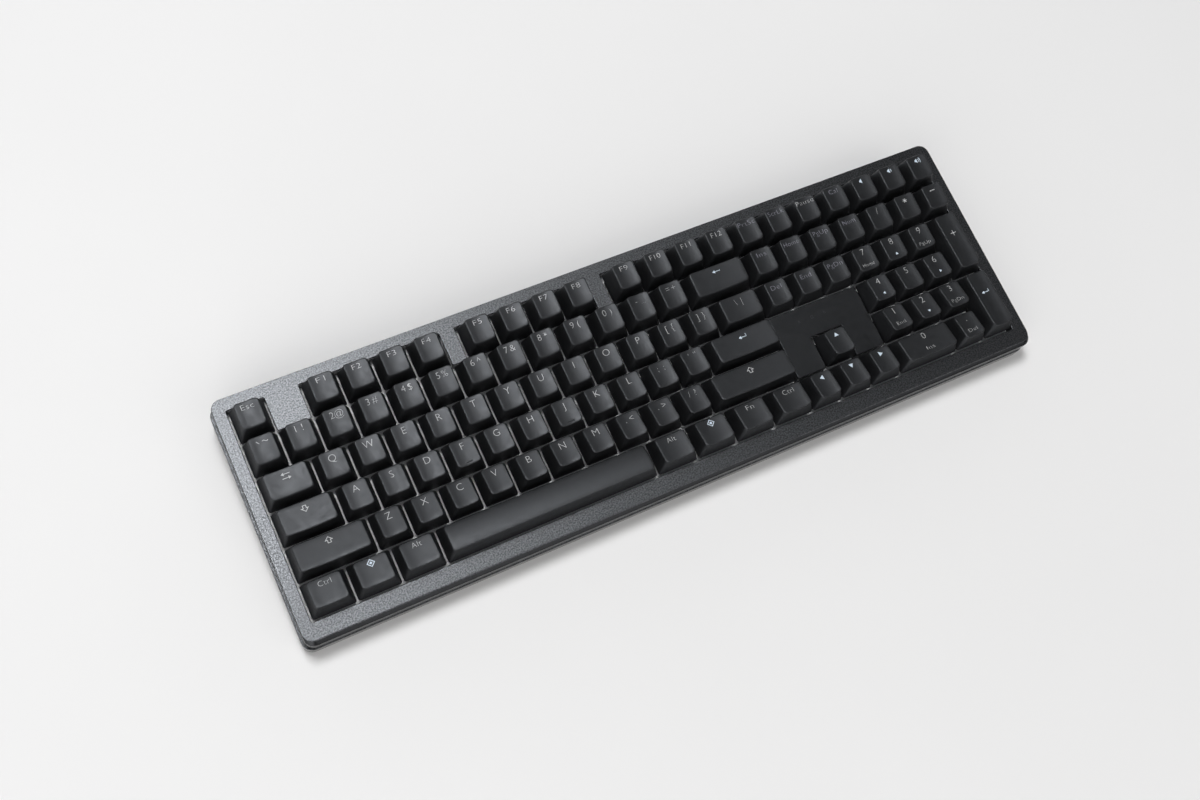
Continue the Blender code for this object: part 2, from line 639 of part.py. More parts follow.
def floor_recesses():
    """The pockets the feet fold into and the shallow seats of the front pads."""
    bm = bmesh.new()
    x = FOOT_WIDTH / 2 + POCKET_GAP
    seat_x, seat_y = PAD_LENGTH / 2 + GAP, PAD_DEPTH / 2 + GAP
    for middle in (FOOT_X, mirrored(FOOT_X)):
        low = (middle - x, FOOT_Y - FOOT_LENGTH - POCKET_GAP, BASE_Z - MM)
        high = (middle + x, FOOT_Y + FOOT_THICK / 2 + POCKET_GAP, BASE_Z + POCKET_DEPTH)
        add_box(bm, low, high)
    for middle in (PAD_FRONT_X, mirrored(PAD_FRONT_X)):
        low = (middle - seat_x, PAD_FRONT_Y - seat_y, BASE_Z - MM)
        high = (middle + seat_x, PAD_FRONT_Y + seat_y, BASE_Z + PAD_RECESS)
        add_box(bm, low, high)
    return bm


def riser_recesses():
    """The seats of the rear pads, level with the desk."""
    bm = bmesh.new()
    seat_x, seat_y = PAD_LENGTH / 2 + GAP, PAD_DEPTH / 2 + GAP
    for middle in (-PAD_REAR_X, PAD_REAR_X):
        low = (middle - seat_x, PAD_REAR_Y - seat_y, 0.0)
        high = (middle + seat_x, PAD_REAR_Y + seat_y, BASE_CLEARANCE + PAD_RECESS)
        add_box(bm, low, high)
    return bm


def add_pin(bm, radius, length, at=(0.0, 0.0, 0.0)):
    """A round bar along X."""
    placed = Matrix.Translation(at) @ Matrix.Rotation(math.pi / 2, 4, "Y")
    bmesh.ops.create_cone(
        bm, cap_ends=True, segments=12, radius1=radius, radius2=radius, depth=length, matrix=placed
    )


def pin_bores():
    """The blind bores in the pocket walls that take the feet's pins."""
    bm = bmesh.new()
    for middle in (FOOT_X, mirrored(FOOT_X)):
        length = FOOT_WIDTH + 2 * (POCKET_GAP + PIN_REACH + GAP)
        add_pin(bm, FOOT_PIN + GAP, length, (middle, FOOT_Y, FOOT_Z))
    return bm


def make_flip_foot(name, x):
    """A foot folded in its pocket, with its origin on its pivot and its heel rounded about it."""
    bm = bmesh.new()
    half_x, half_z = FOOT_WIDTH / 2, FOOT_THICK / 2
    add_box(bm, (-half_x, -FOOT_LENGTH, -half_z), (half_x, half_z, half_z))
    wide = [e for e in bm.edges if abs(e.calc_length() - FOOT_WIDTH) < 0.01 * MM]
    heel = [e for e in wide if all(v.co.y > 0 for v in e.verts)]
    bmesh.ops.bevel(bm, geom=heel, offset=half_z * 0.95, segments=4, affect="EDGES", profile=0.5)
    place = (x, FOOT_Y, FOOT_Z)
    foot = add_object(name, mesh_of(bm, name), PARTS, DECK, place, BASE_PLASTIC)
    pin = bmesh.new()
    add_pin(pin, FOOT_PIN, FOOT_WIDTH + 2 * (POCKET_GAP + PIN_REACH))
    boolean(foot, add_cutter(f"{name}_pin", mesh_of(pin, "pin"), DECK, place), "UNION")


def make_front_pad(name, x):
    """A rubber pad seated in the sloping floor, its underside level on the desk."""
    bm = bmesh.new()
    low = (x - PAD_LENGTH / 2, PAD_FRONT_Y - PAD_DEPTH / 2, BASE_Z - 5 * MM)
    add_box(bm, low, (x + PAD_LENGTH / 2, PAD_FRONT_Y + PAD_DEPTH / 2, BASE_Z + PAD_RECESS - GAP))
    cut_level(bm, 0.0)
    add_object(name, mesh_of(bm, name), PARTS, DECK, material=PAD_RUBBER)


def make_rear_pad(name, x):
    """A rubber pad seated under a riser."""
    half = Vector((PAD_LENGTH, PAD_DEPTH, PAD_HEIGHT)) / 2
    add_object(name, box_mesh(name, -half, half), PARTS, None, (x, PAD_REAR_Y, half.z), PAD_RUBBER)


clear_scene()
PARTS = new_collection("mechanical_keyboard")
CUTTERS = new_collection("cutters")

CAP_PLASTIC = plain_material("keycap_plastic", (0.035, 0.035, 0.038), 0.55)
CASE_PLASTIC = plain_material("case_plastic", (0.03, 0.03, 0.032), 0.6)
BASE_PLASTIC = plain_material("base_plastic", (0.025, 0.025, 0.027), 0.65)
PLATE_PAINT = plain_material("plate_paint", (0.8, 0.8, 0.8), 0.4)
SWITCH_PLASTIC = plain_material("switch_plastic", (0.02, 0.02, 0.02), 0.45)
BOARD_LACQUER = plain_material("board_lacquer", (0.01, 0.06, 0.03), 0.4)
WIRE_STEEL = plain_material("wire_steel", (0.6, 0.6, 0.6), 0.3, 1.0)
SOCKET_STEEL = plain_material("socket_steel", (0.65, 0.65, 0.67), 0.3, 1.0)
PAD_RUBBER = plain_material("pad_rubber", (0.015, 0.015, 0.015), 0.85)

DECK = add_object("deck", None, PARTS)
DECK_MATRIX = Matrix.Translation((-FIELD_X / 2, DECK_BACK, DECK_HEIGHT)) @ Matrix.Rotation(TILT, 4, "X")
DECK.matrix_world = DECK_MATRIX

make_top_case()
make_bottom_case()
make_nav_cover()
make_switch_plate()
make_switch_housings()
make_circuit_board()
make_usb_socket()
make_flip_foot("flip_foot_left", FOOT_X)
make_flip_foot("flip_foot_right", mirrored(FOOT_X))
make_front_pad("pad_front_left", PAD_FRONT_X)
make_front_pad("pad_front_right", mirrored(PAD_FRONT_X))
make_rear_pad("pad_rear_left", -PAD_REAR_X)
make_rear_pad("pad_rear_right", PAD_REAR_X)
for key in single_keys():
    make_key(*key)
    if key[0] in STABILISED:
        make_stabiliser_wire(*key)
for bank, cells in BANKS.items():
    make_bank(bank, cells)
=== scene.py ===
"""The looks of the mechanical keyboard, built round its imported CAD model.

Everything on the deck is laid out in the deck's own axes: X to the right from the left edge of the key
field, Y to the rear from its front edge, Z up out of the case's top face. DECK turns that into the frame.
"""

import json
import math

import bmesh
import bpy
import numpy as np
from mathutils import Matrix, Vector


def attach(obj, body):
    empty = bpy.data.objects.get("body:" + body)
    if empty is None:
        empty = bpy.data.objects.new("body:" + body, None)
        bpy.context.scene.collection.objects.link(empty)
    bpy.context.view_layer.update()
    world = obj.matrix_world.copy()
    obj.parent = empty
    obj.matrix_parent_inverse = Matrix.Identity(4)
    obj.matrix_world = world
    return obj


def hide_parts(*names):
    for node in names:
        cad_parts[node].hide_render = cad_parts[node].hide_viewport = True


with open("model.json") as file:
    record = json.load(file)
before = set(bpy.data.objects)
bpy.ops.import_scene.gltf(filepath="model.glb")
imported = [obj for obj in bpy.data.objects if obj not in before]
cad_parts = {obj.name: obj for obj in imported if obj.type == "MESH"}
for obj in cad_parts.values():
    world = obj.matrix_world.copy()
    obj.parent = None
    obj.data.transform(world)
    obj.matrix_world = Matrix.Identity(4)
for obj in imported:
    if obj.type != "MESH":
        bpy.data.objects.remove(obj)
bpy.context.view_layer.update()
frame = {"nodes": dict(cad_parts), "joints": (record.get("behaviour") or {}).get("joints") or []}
MM = 0.001
PITCH = 19.05 * MM
COLUMNS, ROWS = 22, 6
FIELD_X, FIELD_Y = COLUMNS * PITCH, ROWS * PITCH
CAP_GAP = 0.95 * MM


# ---------------------------------------------------------------- the deck's axes


def tilt_of_deck():
    """The typing angle: every key is pressed straight into the deck."""
    press = next(j["axis"] for j in frame["joints"] if j["name"] == "space_press")
    return math.atan2(press[1], -press[2])


TILT = tilt_of_deck()


def level_with_deck(node):
    """A node's lowest and highest corners in axes that are turned with the deck."""
    turned = Matrix.Rotation(-TILT, 3, "X")
    points = np.array([turned @ v.co for v in frame["nodes"][node].data.vertices])
    return Vector(points.min(0)), Vector(points.max(0))


def find_deck():
    top = level_with_deck("top_case")[1].z
    front = level_with_deck("key_space")[0].y - CAP_GAP / 2
    corner = Matrix.Translation((-FIELD_X / 2, front, top))
    return Matrix.Rotation(TILT, 4, "X") @ corner


DECK = find_deck()


def deck_box(node):
    """A node's lowest and highest corners in the deck's axes."""
    low, high = level_with_deck(node)
    back = DECK.inverted() @ Matrix.Rotation(TILT, 4, "X")
    return back @ low, back @ high


# ---------------------------------------------------------------- materials


COOL_MIRROR = (0.90, 0.94, 1.0, 1.0)  # tint of what dark plastic mirrors
CASE_IOR, CAP_IOR, SIDE_IOR = 1.85, 1.58, 1.9


class Shade:
    """A Principled material that is put together node by node."""

    def __init__(self, name, color, roughness, metallic=0.0, cool=False):
        self.material = bpy.data.materials.new(name)
        self.material.use_nodes = True
        self.tree = self.material.node_tree
        self.shader = self.tree.nodes["Principled BSDF"]
        self.shader.inputs["Base Color"].default_value = (*color, 1.0)
        self.shader.inputs["Roughness"].default_value = roughness
        self.shader.inputs["Metallic"].default_value = metallic
        self.place = self.tree.nodes.new("ShaderNodeTexCoord").outputs["Object"]
        self.color = color
        self.height = None
        if cool:
            self.shader.inputs["Specular Tint"].default_value = COOL_MIRROR

    def node(self, kind, **settings):
        made = self.tree.nodes.new(kind)
        for name, value in settings.items():
            if name in made.inputs:
                made.inputs[name].default_value = value
            else:
                setattr(made, name, value)
        return made

    def link(self, output, socket):
        self.tree.links.new(output, socket)

    def noise(self, cell, detail=3.0, rough=0.55, stretch=None):
        """Noise whose features are about one cell across, in metres."""
        made = self.node("ShaderNodeTexNoise", Scale=1.0 / cell, Detail=detail, Roughness=rough)
        source = self.place
        if stretch:
            mapping = self.node("ShaderNodeMapping")
            mapping.inputs["Scale"].default_value = stretch
            self.link(source, mapping.inputs["Vector"])
            source = mapping.outputs["Vector"]
        self.link(source, made.inputs["Vector"])
        return made.outputs["Fac"]

    def ramp(self, source, low, high, start=0.3, end=0.7):
        made = self.node("ShaderNodeMapRange")
        for name, value in (("From Min", start), ("From Max", end), ("To Min", low), ("To Max", high)):
            made.inputs[name].default_value = value
        self.link(source, made.inputs["Value"])
        return made.outputs["Result"]

    def vary_color(self, source, darker, lighter, start=0.3, end=0.7):
        """The colour runs between two shades of itself."""
        mix = self.node("ShaderNodeMix", data_type="RGBA")
        for socket in mix.inputs:
            if socket.type == "RGBA" and socket.name in ("A", "B"):
                scale = darker if socket.name == "A" else lighter
                socket.default_value = (*[min(1.0, c * scale) for c in self.color], 1.0)
        self.link(self.ramp(source, 0.0, 1.0, start, end), mix.inputs["Factor"])
        output = next(s for s in mix.outputs if s.type == "RGBA")
        self.link(output, self.shader.inputs["Base Color"])

    def vary_roughness(self, source, low, high, start=0.3, end=0.7):
        self.link(self.ramp(source, low, high, start, end), self.shader.inputs["Roughness"])

    def bump(self, source, distance, strength=1.0):
        """Relief of about a distance, in metres. Calls stack."""
        made = self.node("ShaderNodeBump")
        made.inputs["Strength"].default_value = strength
        made.inputs["Distance"].default_value = distance
        self.link(source, made.inputs["Height"])
        if self.height:
            self.link(self.height, made.inputs["Normal"])
        self.height = made.outputs["Normal"]
        self.link(self.height, self.shader.inputs["Normal"])


def make_case_material(name, color):
    """Matte moulded plastic with the speckled grain of a sprayed or spark-eroded finish."""
    made = Shade(name, color, 0.36, cool=True)
    made.shader.inputs["IOR"].default_value = CASE_IOR
    grain = made.noise(0.9 * MM, 2.0, 0.6)
    made.vary_color(grain, 0.6, 1.5, 0.36, 0.64)
    made.vary_roughness(made.noise(1.1 * MM, 5.0, 0.7), 0.34, 0.44)
    speckle = made.noise(0.8 * MM, 1.0, 0.5)
    made.link(made.ramp(speckle, 0.28, 0.72, 0.35, 0.65), made.shader.inputs["Specular IOR Level"])
    made.bump(grain, 0.09 * MM, 0.6)
    made.bump(made.noise(0.2 * MM, 2.0), 0.03 * MM, 0.35)
    return made.material


def make_base_material():
    made = Shade("base_plastic", (0.014, 0.014, 0.015), 0.5)
    made.vary_color(made.noise(1.2 * MM, 5.0, 0.6), 0.8, 1.25)
    made.vary_roughness(made.noise(12 * MM, 4.0), 0.46, 0.60)
    made.bump(made.noise(0.4 * MM, 3.0), 0.06 * MM, 0.5)
    return made.material


def make_cap_material():
    """Thick keycap plastic: a very fine texture, its polish a little uneven."""
    made = Shade("keycap_plastic", (0.0074, 0.0077, 0.0085), 0.46, cool=True)
    made.shader.inputs["IOR"].default_value = CAP_IOR
    made.vary_color(made.noise(2.5 * MM, 4.0, 0.6), 0.85, 1.2)
    made.vary_roughness(made.noise(3.5 * MM, 5.0, 0.65), 0.41, 0.52)
    made.bump(made.noise(0.3 * MM, 3.0, 0.65), 0.03 * MM, 0.5)
    return made.material


def make_legend_material(name, color):
    """The ink of a legend, a little uneven and a little worn."""
    made = Shade(name, color, 0.5)
    made.vary_color(made.noise(0.35 * MM, 4.0, 0.7), 0.78, 1.12)
    made.vary_roughness(made.noise(0.5 * MM, 3.0), 0.42, 0.6)
    return made.material


def make_plate_material():
    """White powder coat, with a faint painted glow that stands in for the light of the lamps under the
    keys.
    """
    made = Shade("plate_paint", (0.80, 0.81, 0.82), 0.42)
    # Painted glow: the plate gives off a little light of its own, in place of the lamps under the keys.
    made.shader.inputs["Emission Color"].default_value = (0.93, 0.96, 1.0, 1.0)
    made.shader.inputs["Emission Strength"].default_value = 0.03
    made.vary_color(made.noise(6 * MM, 4.0), 0.94, 1.03)
    made.vary_roughness(made.noise(4 * MM, 4.0), 0.36, 0.5)
    made.bump(made.noise(0.5 * MM, 3.0), 0.03 * MM, 0.4)
    return made.material


def make_switch_material():
    made = Shade("switch_plastic", (0.012, 0.012, 0.013), 0.42)
    made.vary_color(made.noise(3 * MM, 3.0), 0.8, 1.25)
    made.vary_roughness(made.noise(1 * MM, 3.0), 0.34, 0.5)
    made.bump(made.noise(0.3 * MM, 2.0), 0.02 * MM, 0.4)
    return made.material


def make_board_material():
    made = Shade("board_lacquer", (0.010, 0.055, 0.028), 0.34)
    made.vary_color(made.noise(8 * MM, 5.0), 0.75, 1.3)
    made.vary_roughness(made.noise(3 * MM, 3.0), 0.28, 0.42)
    made.bump(made.noise(0.8 * MM, 2.0), 0.02 * MM, 0.4)
    return made.material


def make_steel_material(name, color, roughness):
    """Drawn or stamped steel, brushed along X."""
    made = Shade(name, color, roughness, 1.0)
    streaks = made.noise(0.25 * MM, 4.0, 0.6, (0.06, 1.0, 1.0))
    made.vary_color(streaks, 0.85, 1.08)
    made.vary_roughness(streaks, roughness * 0.8, roughness * 1.35)
    made.bump(streaks, 0.01 * MM, 0.4)
    return made.material


def make_rubber_material():
    made = Shade("pad_rubber", (0.020, 0.020, 0.021), 0.82)
    made.vary_color(made.noise(1.5 * MM, 4.0), 0.8, 1.4)
    made.vary_roughness(made.noise(2 * MM, 3.0), 0.74, 0.92)
    made.bump(made.noise(0.25 * MM, 3.0), 0.04 * MM, 0.6)
    return made.material


FLOOR_GLOW, FLOOR_GLOW_REACH = 0.60, (0.10, 3.0)  # radiance, and where it starts and is full, in metres


def make_floor_material():
    """Pale seamless paper."""
    made = Shade("floor_paper", (0.845, 0.845, 0.848), 0.85)
    made.vary_color(made.noise(0.25, 3.0), 0.99, 1.01)
    made.bump(made.noise(1.5 * MM, 3.0), 0.02 * MM, 0.2)
    # Away from the keyboard a glow makes up for the light that falls off.
    reach = made.node("ShaderNodeVectorMath", operation="LENGTH")
    made.link(made.place, reach.inputs[0])
    glow = made.ramp(reach.outputs["Value"], 0.0, FLOOR_GLOW, *FLOOR_GLOW_REACH)
    made.link(glow, made.shader.inputs["Emission Strength"])
    made.shader.inputs["Emission Color"].default_value = (0.99, 0.995, 1.0, 1.0)
    return made.material


def make_wall_material():
    """The smooth sides of the case, which mirror the desk."""
    made = Shade("side_plastic", (0.05, 0.05, 0.052), 0.16)
    made.shader.inputs["IOR"].default_value = SIDE_IOR
    made.vary_color(made.noise(2 * MM, 4.0), 0.8, 1.3)
    made.vary_roughness(made.noise(3 * MM, 4.0), 0.09, 0.17)
    made.bump(made.noise(0.8 * MM, 3.0), 0.01 * MM, 0.3)
    return made.material


def make_smooth_material():
    """The flanks of the case, where the grain fades out."""
    made = Shade("case_flank_plastic", (0.0065, 0.0066, 0.0072), 0.22, cool=True)
    made.vary_color(made.noise(2 * MM, 4.0, 0.6), 0.8, 1.25)
    made.vary_roughness(made.noise(4 * MM, 4.0), 0.18, 0.28)
    made.bump(made.noise(0.4 * MM, 3.0), 0.012 * MM, 0.4)
    return made.material


def make_cover_material():
    """The cover between the keys is smoother than the case."""
    made = Shade("cover_plastic", (0.0065, 0.0067, 0.0073), 0.42, cool=True)
    made.vary_color(made.noise(2 * MM, 4.0, 0.6), 0.85, 1.2)
    made.vary_roughness(made.noise(4 * MM, 4.0), 0.38, 0.47)
    made.bump(made.noise(0.3 * MM, 3.0), 0.02 * MM, 0.4)
    return made.material


CASE = make_case_material("case_plastic", (0.0060, 0.0061, 0.0067))
SIDE = make_wall_material()
SMOOTH = make_smooth_material()
BASE = make_base_material()
CAP = make_cap_material()
INK = make_legend_material("legend_ink", (0.50, 0.51, 0.52))
# A darker copy of the legend ink, painted shade for the legends that catch the least light.
SHADED_INK = make_legend_material("legend_ink_painted_shade", (0.26, 0.26, 0.31))
# Icon ink, painted lighter and bluer than the letters' ink as a painted glow of the lamps under the keys.
ICON_INK_AND_GLOW = make_legend_material("icon_ink_and_glow", (0.62, 0.72, 0.82))
FAINT_INK = make_legend_material("faint_ink", (0.035, 0.036, 0.04))
COVER = make_cover_material()
PLATE = make_plate_material()
SWITCH = make_switch_material()
BOARD = make_board_material()
STEEL = make_steel_material("wire_steel", (0.60, 0.60, 0.60), 0.3)
SHELL = make_steel_material("socket_steel", (0.66, 0.66, 0.68), 0.26)
RUBBER = make_rubber_material()


# ---------------------------------------------------------------- mesh helpers


SHARP_ANGLE = math.radians(35)


def quarter(steps):
    """(1 - sine, 1 - cosine) of the angles from 0 to 90 degrees, in equal steps."""
    turns = [math.pi / 2 * k / steps for k in range(steps + 1)]
    return [(1 - math.sin(turn), 1 - math.cos(turn)) for turn in turns]


def add_piece(name, mesh, body, replaced=(), materials=()):
    """A finished piece that rides on a CAD body."""
    for material in materials:
        mesh.materials.append(material)
    piece = bpy.data.objects.new(name, mesh)
    bpy.context.scene.collection.objects.link(piece)
    piece.matrix_world = DECK
    mesh.shade_smooth()
    mesh.set_sharp_from_angle(angle=SHARP_ANGLE)
    if replaced:
        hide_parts(*replaced)
    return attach(piece, body)


def rounded_outline(corners, grow, radius, arc=5):
    """A ring of points round a right-angled outline, grown outwards, its corners rounded.

    The corners run anticlockwise. Rings of one outline have the same number of points, so they can
    be joined whatever their size."""
    ring = []
    count = len(corners)
    for i in range(count):
        before, here, after = (Vector(corners[k % count]) for k in (i - 1, i, i + 1))
        along_in, along_out = (here - before).normalized(), (after - here).normalized()
        normal_in = Vector((along_in.y, -along_in.x))
        normal_out = Vector((along_out.y, -along_out.x))
        convex = along_in.cross(along_out) > 0
        r = max(0.02 * MM, radius + (grow if convex else -grow))
        side = 1.0 if convex else -1.0
        corner = here + grow * (normal_in + normal_out)
        centre = corner - side * r * (normal_in + normal_out)
        for k in range(arc + 1):
            turn = k / arc * math.pi / 2
            ring.append(centre + side * r * (math.cos(turn) * normal_in + math.sin(turn) * normal_out))
    return ring


def rectangle(x0, x1, y0, y1):
    return [(x0, y0), (x1, y0), (x1, y1), (x0, y1)]


class Skin:
    """A mesh made of rings of points that are joined one after another."""

    def __init__(self):
        self.bm = bmesh.new()

    def ring(self, points, z):
        """Adds a ring of (x, y) points at a height, which is a number or a function of x and y."""
        at = z if callable(z) else lambda x, y: z
        return [self.bm.verts.new((p[0], p[1], at(p[0], p[1]))) for p in points]

    def join(self, a, b):
        """Faces between two rings, facing outwards if ring a lies below ring b round a solid."""
        count = len(a)
        for i in range(count):
            k = (i + 1) % count
            self.bm.faces.new((a[i], a[k], b[k], b[i]))

    def chain(self, rings):
        for a, b in zip(rings, rings[1:], strict=False):
            self.join(a, b)
        return rings

    def cap(self, ring, up=True):
        self.bm.faces.new(ring if up else ring[::-1])

    def fill(self, rings, up=True):
        """A flat face inside the first ring with the others as holes in it."""
        edges = []
        for ring in rings:
            for i in range(len(ring)):
                pair = (ring[i], ring[(i + 1) % len(ring)])
                edges.append(self.bm.edges.get(pair) or self.bm.edges.new(pair))
        normal = (0, 0, 1 if up else -1)
        bmesh.ops.triangle_fill(self.bm, use_beauty=True, edges=edges, normal=normal)

    def mesh(self, name, settle=True):
        if settle:
            bmesh.ops.recalc_face_normals(self.bm, faces=self.bm.faces)
        made = bpy.data.meshes.new(name)
        self.bm.to_mesh(made)
        self.bm.free()
        return made


def add_block(skin, low, high, radius, edge, arc=4, steps=3):
    """A closed upright block with rounded corners and edges."""
    middle = rectangle(low[0], high[0], low[1], high[1])

    def ring(inset, z):
        return skin.ring(rounded_outline(middle, -inset * edge, radius, arc), z)

    rings = [ring(inset, low[2] + edge * rise) for inset, rise in quarter(steps)]
    rings += [ring(inset, high[2] - edge * drop) for inset, drop in quarter(steps)[::-1]]
    skin.chain(rings)
    skin.cap(rings[0], up=False)
    skin.cap(rings[-1])


# ---------------------------------------------------------------- keycaps

SKIRT_Z = -0.5 * MM
TOP_INSET_X = 3.5 * MM
DISH, CROWN = 0.7 * MM, 0.6 * MM
SKIRT_WALL, CAP_THICK = 1.3 * MM, 1.5 * MM
SHOULDER = 0.38 * MM
SKIRT_RADIUS, TOP_RADIUS, CEILING_RADIUS, SKIRT_EDGE = 1.1 * MM, 1.75 * MM, 1.0 * MM, 0.15 * MM
SWELL, FRONT_BOW, BOW_REACH = 0.08 * MM, 0.3 * MM, 3 * MM
STEM_HALF, STEM_FOOT = 2.7 * MM, -3.4 * MM
# By row from the front: heights of the top's rear and front edges, their places in the cell, and how
# far the middle of a legend lies in front of the top's rear edge.
CAP_ROWS = (
    (8.4 * MM, 11.4 * MM, 3.3 * MM, 1.85 * MM, 2.95 * MM),
    (9.0 * MM, 12.2 * MM, 3.3 * MM, 1.75 * MM, 3.8 * MM),
    (9.0 * MM, 10.8 * MM, 3.5 * MM, 1.7 * MM, 3.85 * MM),
    (9.6 * MM, 9.6 * MM, 3.6 * MM, 2.0 * MM, 4.0 * MM),
    (12.1 * MM, 11.6 * MM, 3.6 * MM, 1.9 * MM, 3.4 * MM),
    (12.3 * MM, 11.9 * MM, 3.9 * MM, 1.8 * MM, 2.9 * MM),
)


class Cap:
    """One keycap over a cell, a rounded shell whose top is dished from side to side."""

    def __init__(self, cell, width, row, depth=1, crowned=False):
        rear_z = CAP_ROWS[row + depth - 1][0]
        _, front_z, front_y, rear_y, self.legend_back = CAP_ROWS[row]
        self.crowned = crowned
        x0, x1 = cell * PITCH, (cell + width) * PITCH
        y0, y1 = row * PITCH, (row + depth) * PITCH
        self.skirt = (x0 + CAP_GAP / 2, x1 - CAP_GAP / 2, y0 + CAP_GAP / 2, y1 - CAP_GAP / 2)
        self.top = (x0 + TOP_INSET_X, x1 - TOP_INSET_X, y0 + front_y, y1 - rear_y)
        self.front_z, self.rear_z = front_z, rear_z
        self.middle = (x0 + x1) / 2
        self.steps_x = 10 if width < 2 else 16
        self.steps_y = 6 if depth == 1 else 10
        self.arc = 4

    def surface(self, x, y):
        """Height of the top over the deck."""
        x0, x1, y0, y1 = self.top
        along = (y - y0) / (y1 - y0)
        across = (x - self.middle) / ((x1 - x0) / 2)
        flat = self.front_z + (self.rear_z - self.front_z) * along
        if self.crowned:
            return flat + CROWN * max(0.0, 1 - (2 * along - 1) ** 2)
        return flat - DISH * max(0.0, 1 - across**2)

    def ring(self, skin, edges, radius, height, bulge=0.0):
        """Points round a rectangle with rounded corners. The straight sides are divided evenly."""
        x0, x1, y0, y1 = edges
        inner = (x0 + radius, x1 - radius, y0 + radius, y1 - radius)
        xs = np.linspace(inner[0], inner[1], self.steps_x + 1)
        ys = np.linspace(inner[2], inner[3], self.steps_y + 1)
        turns = [math.pi / 2 * k / self.arc for k in range(1, self.arc)]

        def corner(cx, cy, start):
            return [(cx + radius * math.cos(start + t), cy + radius * math.sin(start + t)) for t in turns]

        points = [(x, y0) for x in xs]
        points += corner(inner[1], inner[2], -math.pi / 2)
        points += [(x1, y) for y in ys]
        points += corner(inner[1], inner[3], 0.0)
        points += [(x, y1) for x in xs[::-1]]
        points += corner(inner[0], inner[3], math.pi / 2)
        points += [(x0, y) for y in ys[::-1]]
        points += corner(inner[0], inner[2], math.pi)
        points = [(x, self.bulge(x, y, bulge)) for x, y in points]
        return skin.ring(points, height)

    def bulge(self, x, y, amount):
        """The dish cuts the sloping front wall in a shallow curve, so the top's front edge bows forward."""
        x0, x1, y0, y1 = self.top
        across = (x - self.middle) / ((x1 - x0) / 2)
        along = max(0.0, 1 - (y - y0) / BOW_REACH)
        return y - amount * max(0.0, 1 - across**2) * along

    def between(self, t, inset=0.0):
        """The outline part of the way up the flanks, which bulge a little."""
        swell = SWELL * math.sin(math.pi * t)
        sign = (1, -1, 1, -1)
        pairs = zip(self.skirt, self.top, sign, strict=True)
        return tuple(a + (b - a) * t - s * (swell - inset) for a, b, s in pairs)

    def build(self, skin):
        bow = 0.0 if self.crowned else FRONT_BOW
        rings = [self.ring(skin, self.between(0.0, SKIRT_WALL), SKIRT_RADIUS, SKIRT_Z)]
        rings.append(self.ring(skin, self.between(0.0, SKIRT_EDGE), SKIRT_RADIUS, SKIRT_Z))
        rings.append(self.ring(skin, self.skirt, SKIRT_RADIUS, SKIRT_Z + SKIRT_EDGE))
        for t in (0.25, 0.5, 0.75):
            radius = SKIRT_RADIUS + (TOP_RADIUS - SKIRT_RADIUS) * t
            rings.append(self.ring(skin, self.between(t), radius, self.flank(t), bow * t))
        for out, drop in quarter(4):
            edges = self.between(1.0 - 0.04 * out, SHOULDER * (drop - 0.35 * out))
            rings.append(self.ring(skin, edges, TOP_RADIUS, self.below_top(SHOULDER * out), bow))
        skin.chain(rings)
        self.close_top(skin, rings[-1], TOP_RADIUS, bow)
        self.hollow(skin, rings[0])

    def below_top(self, fall):
        return lambda x, y: self.surface(x, y) - fall

    def flank(self, t):
        """Height of a ring part of the way up: level at the skirt, along the top's edge at the top."""
        return lambda x, y: SKIRT_Z + (self.surface(x, y) - SHOULDER - SKIRT_Z) * t

    def close_top(self, skin, ring, radius, bow):
        """A grid of faces inside the topmost ring."""
        nx, ny = self.steps_x, self.steps_y
        x0, x1, y0, y1 = self.between(1.0, SHOULDER)
        xs = np.linspace(x0 + radius, x1 - radius, nx + 1)
        ys = np.linspace(y0 + radius, y1 - radius, ny + 1)
        rows = [[(x, self.bulge(x, y, bow)) for x in xs] for y in ys]
        grid = [[skin.bm.verts.new((x, y, self.surface(x, y))) for x, y in row] for row in rows]
        for j in range(ny):
            for i in range(nx):
                corners = (grid[j][i], grid[j][i + 1], grid[j + 1][i + 1], grid[j + 1][i])
                skin.bm.faces.new(corners)
        inner = [grid[0][i] for i in range(nx + 1)] + [grid[0][nx]] * (self.arc - 1)
        inner += [grid[j][nx] for j in range(ny + 1)] + [grid[ny][nx]] * (self.arc - 1)
        inner += [grid[ny][i] for i in range(nx, -1, -1)] + [grid[ny][0]] * (self.arc - 1)
        inner += [grid[j][0] for j in range(ny, -1, -1)] + [grid[0][0]] * (self.arc - 1)
        count = len(ring)
        for i in range(count):
            k = (i + 1) % count
            corners = [ring[i], ring[k]]
            corners += [inner[k]] if inner[k] is inner[i] else [inner[k], inner[i]]
            skin.bm.faces.new(corners)

    def hollow(self, skin, ring):
        """The inside: walls, a ceiling, and the stem that plugs into the switch."""
        x0, x1, y0, y1 = self.between(0.8, SKIRT_WALL)
        ceiling = min(self.front_z, self.rear_z) - DISH - CAP_THICK
        upper = self.ring(skin, (x0, x1, y0, y1), CEILING_RADIUS, ceiling)
        skin.join(upper, ring)
        skin.bm.faces.new(upper)
        x, y = self.middle, (self.skirt[2] + self.skirt[3]) / 2
        low = (x - STEM_HALF, y - STEM_HALF, STEM_FOOT)
        add_block(skin, low, (x + STEM_HALF, y + STEM_HALF, ceiling), 0.8 * MM, 0.3 * MM)


# ---------------------------------------------------------------- legends

LINE = 0.34 * MM  # width of a legend's strokes
THINNING, SPACING = -0.021, 1.06  # how much the font's strokes are thinned, and its letter spacing
LETTER_HEIGHT, PAIR_HEIGHT, PAIR_SHIFT, WORD_HEIGHT = 3.65 * MM, 3.4 * MM, 1.8, 2.75
INK_RISE = 0.03 * MM  # of a legend over the cap's top


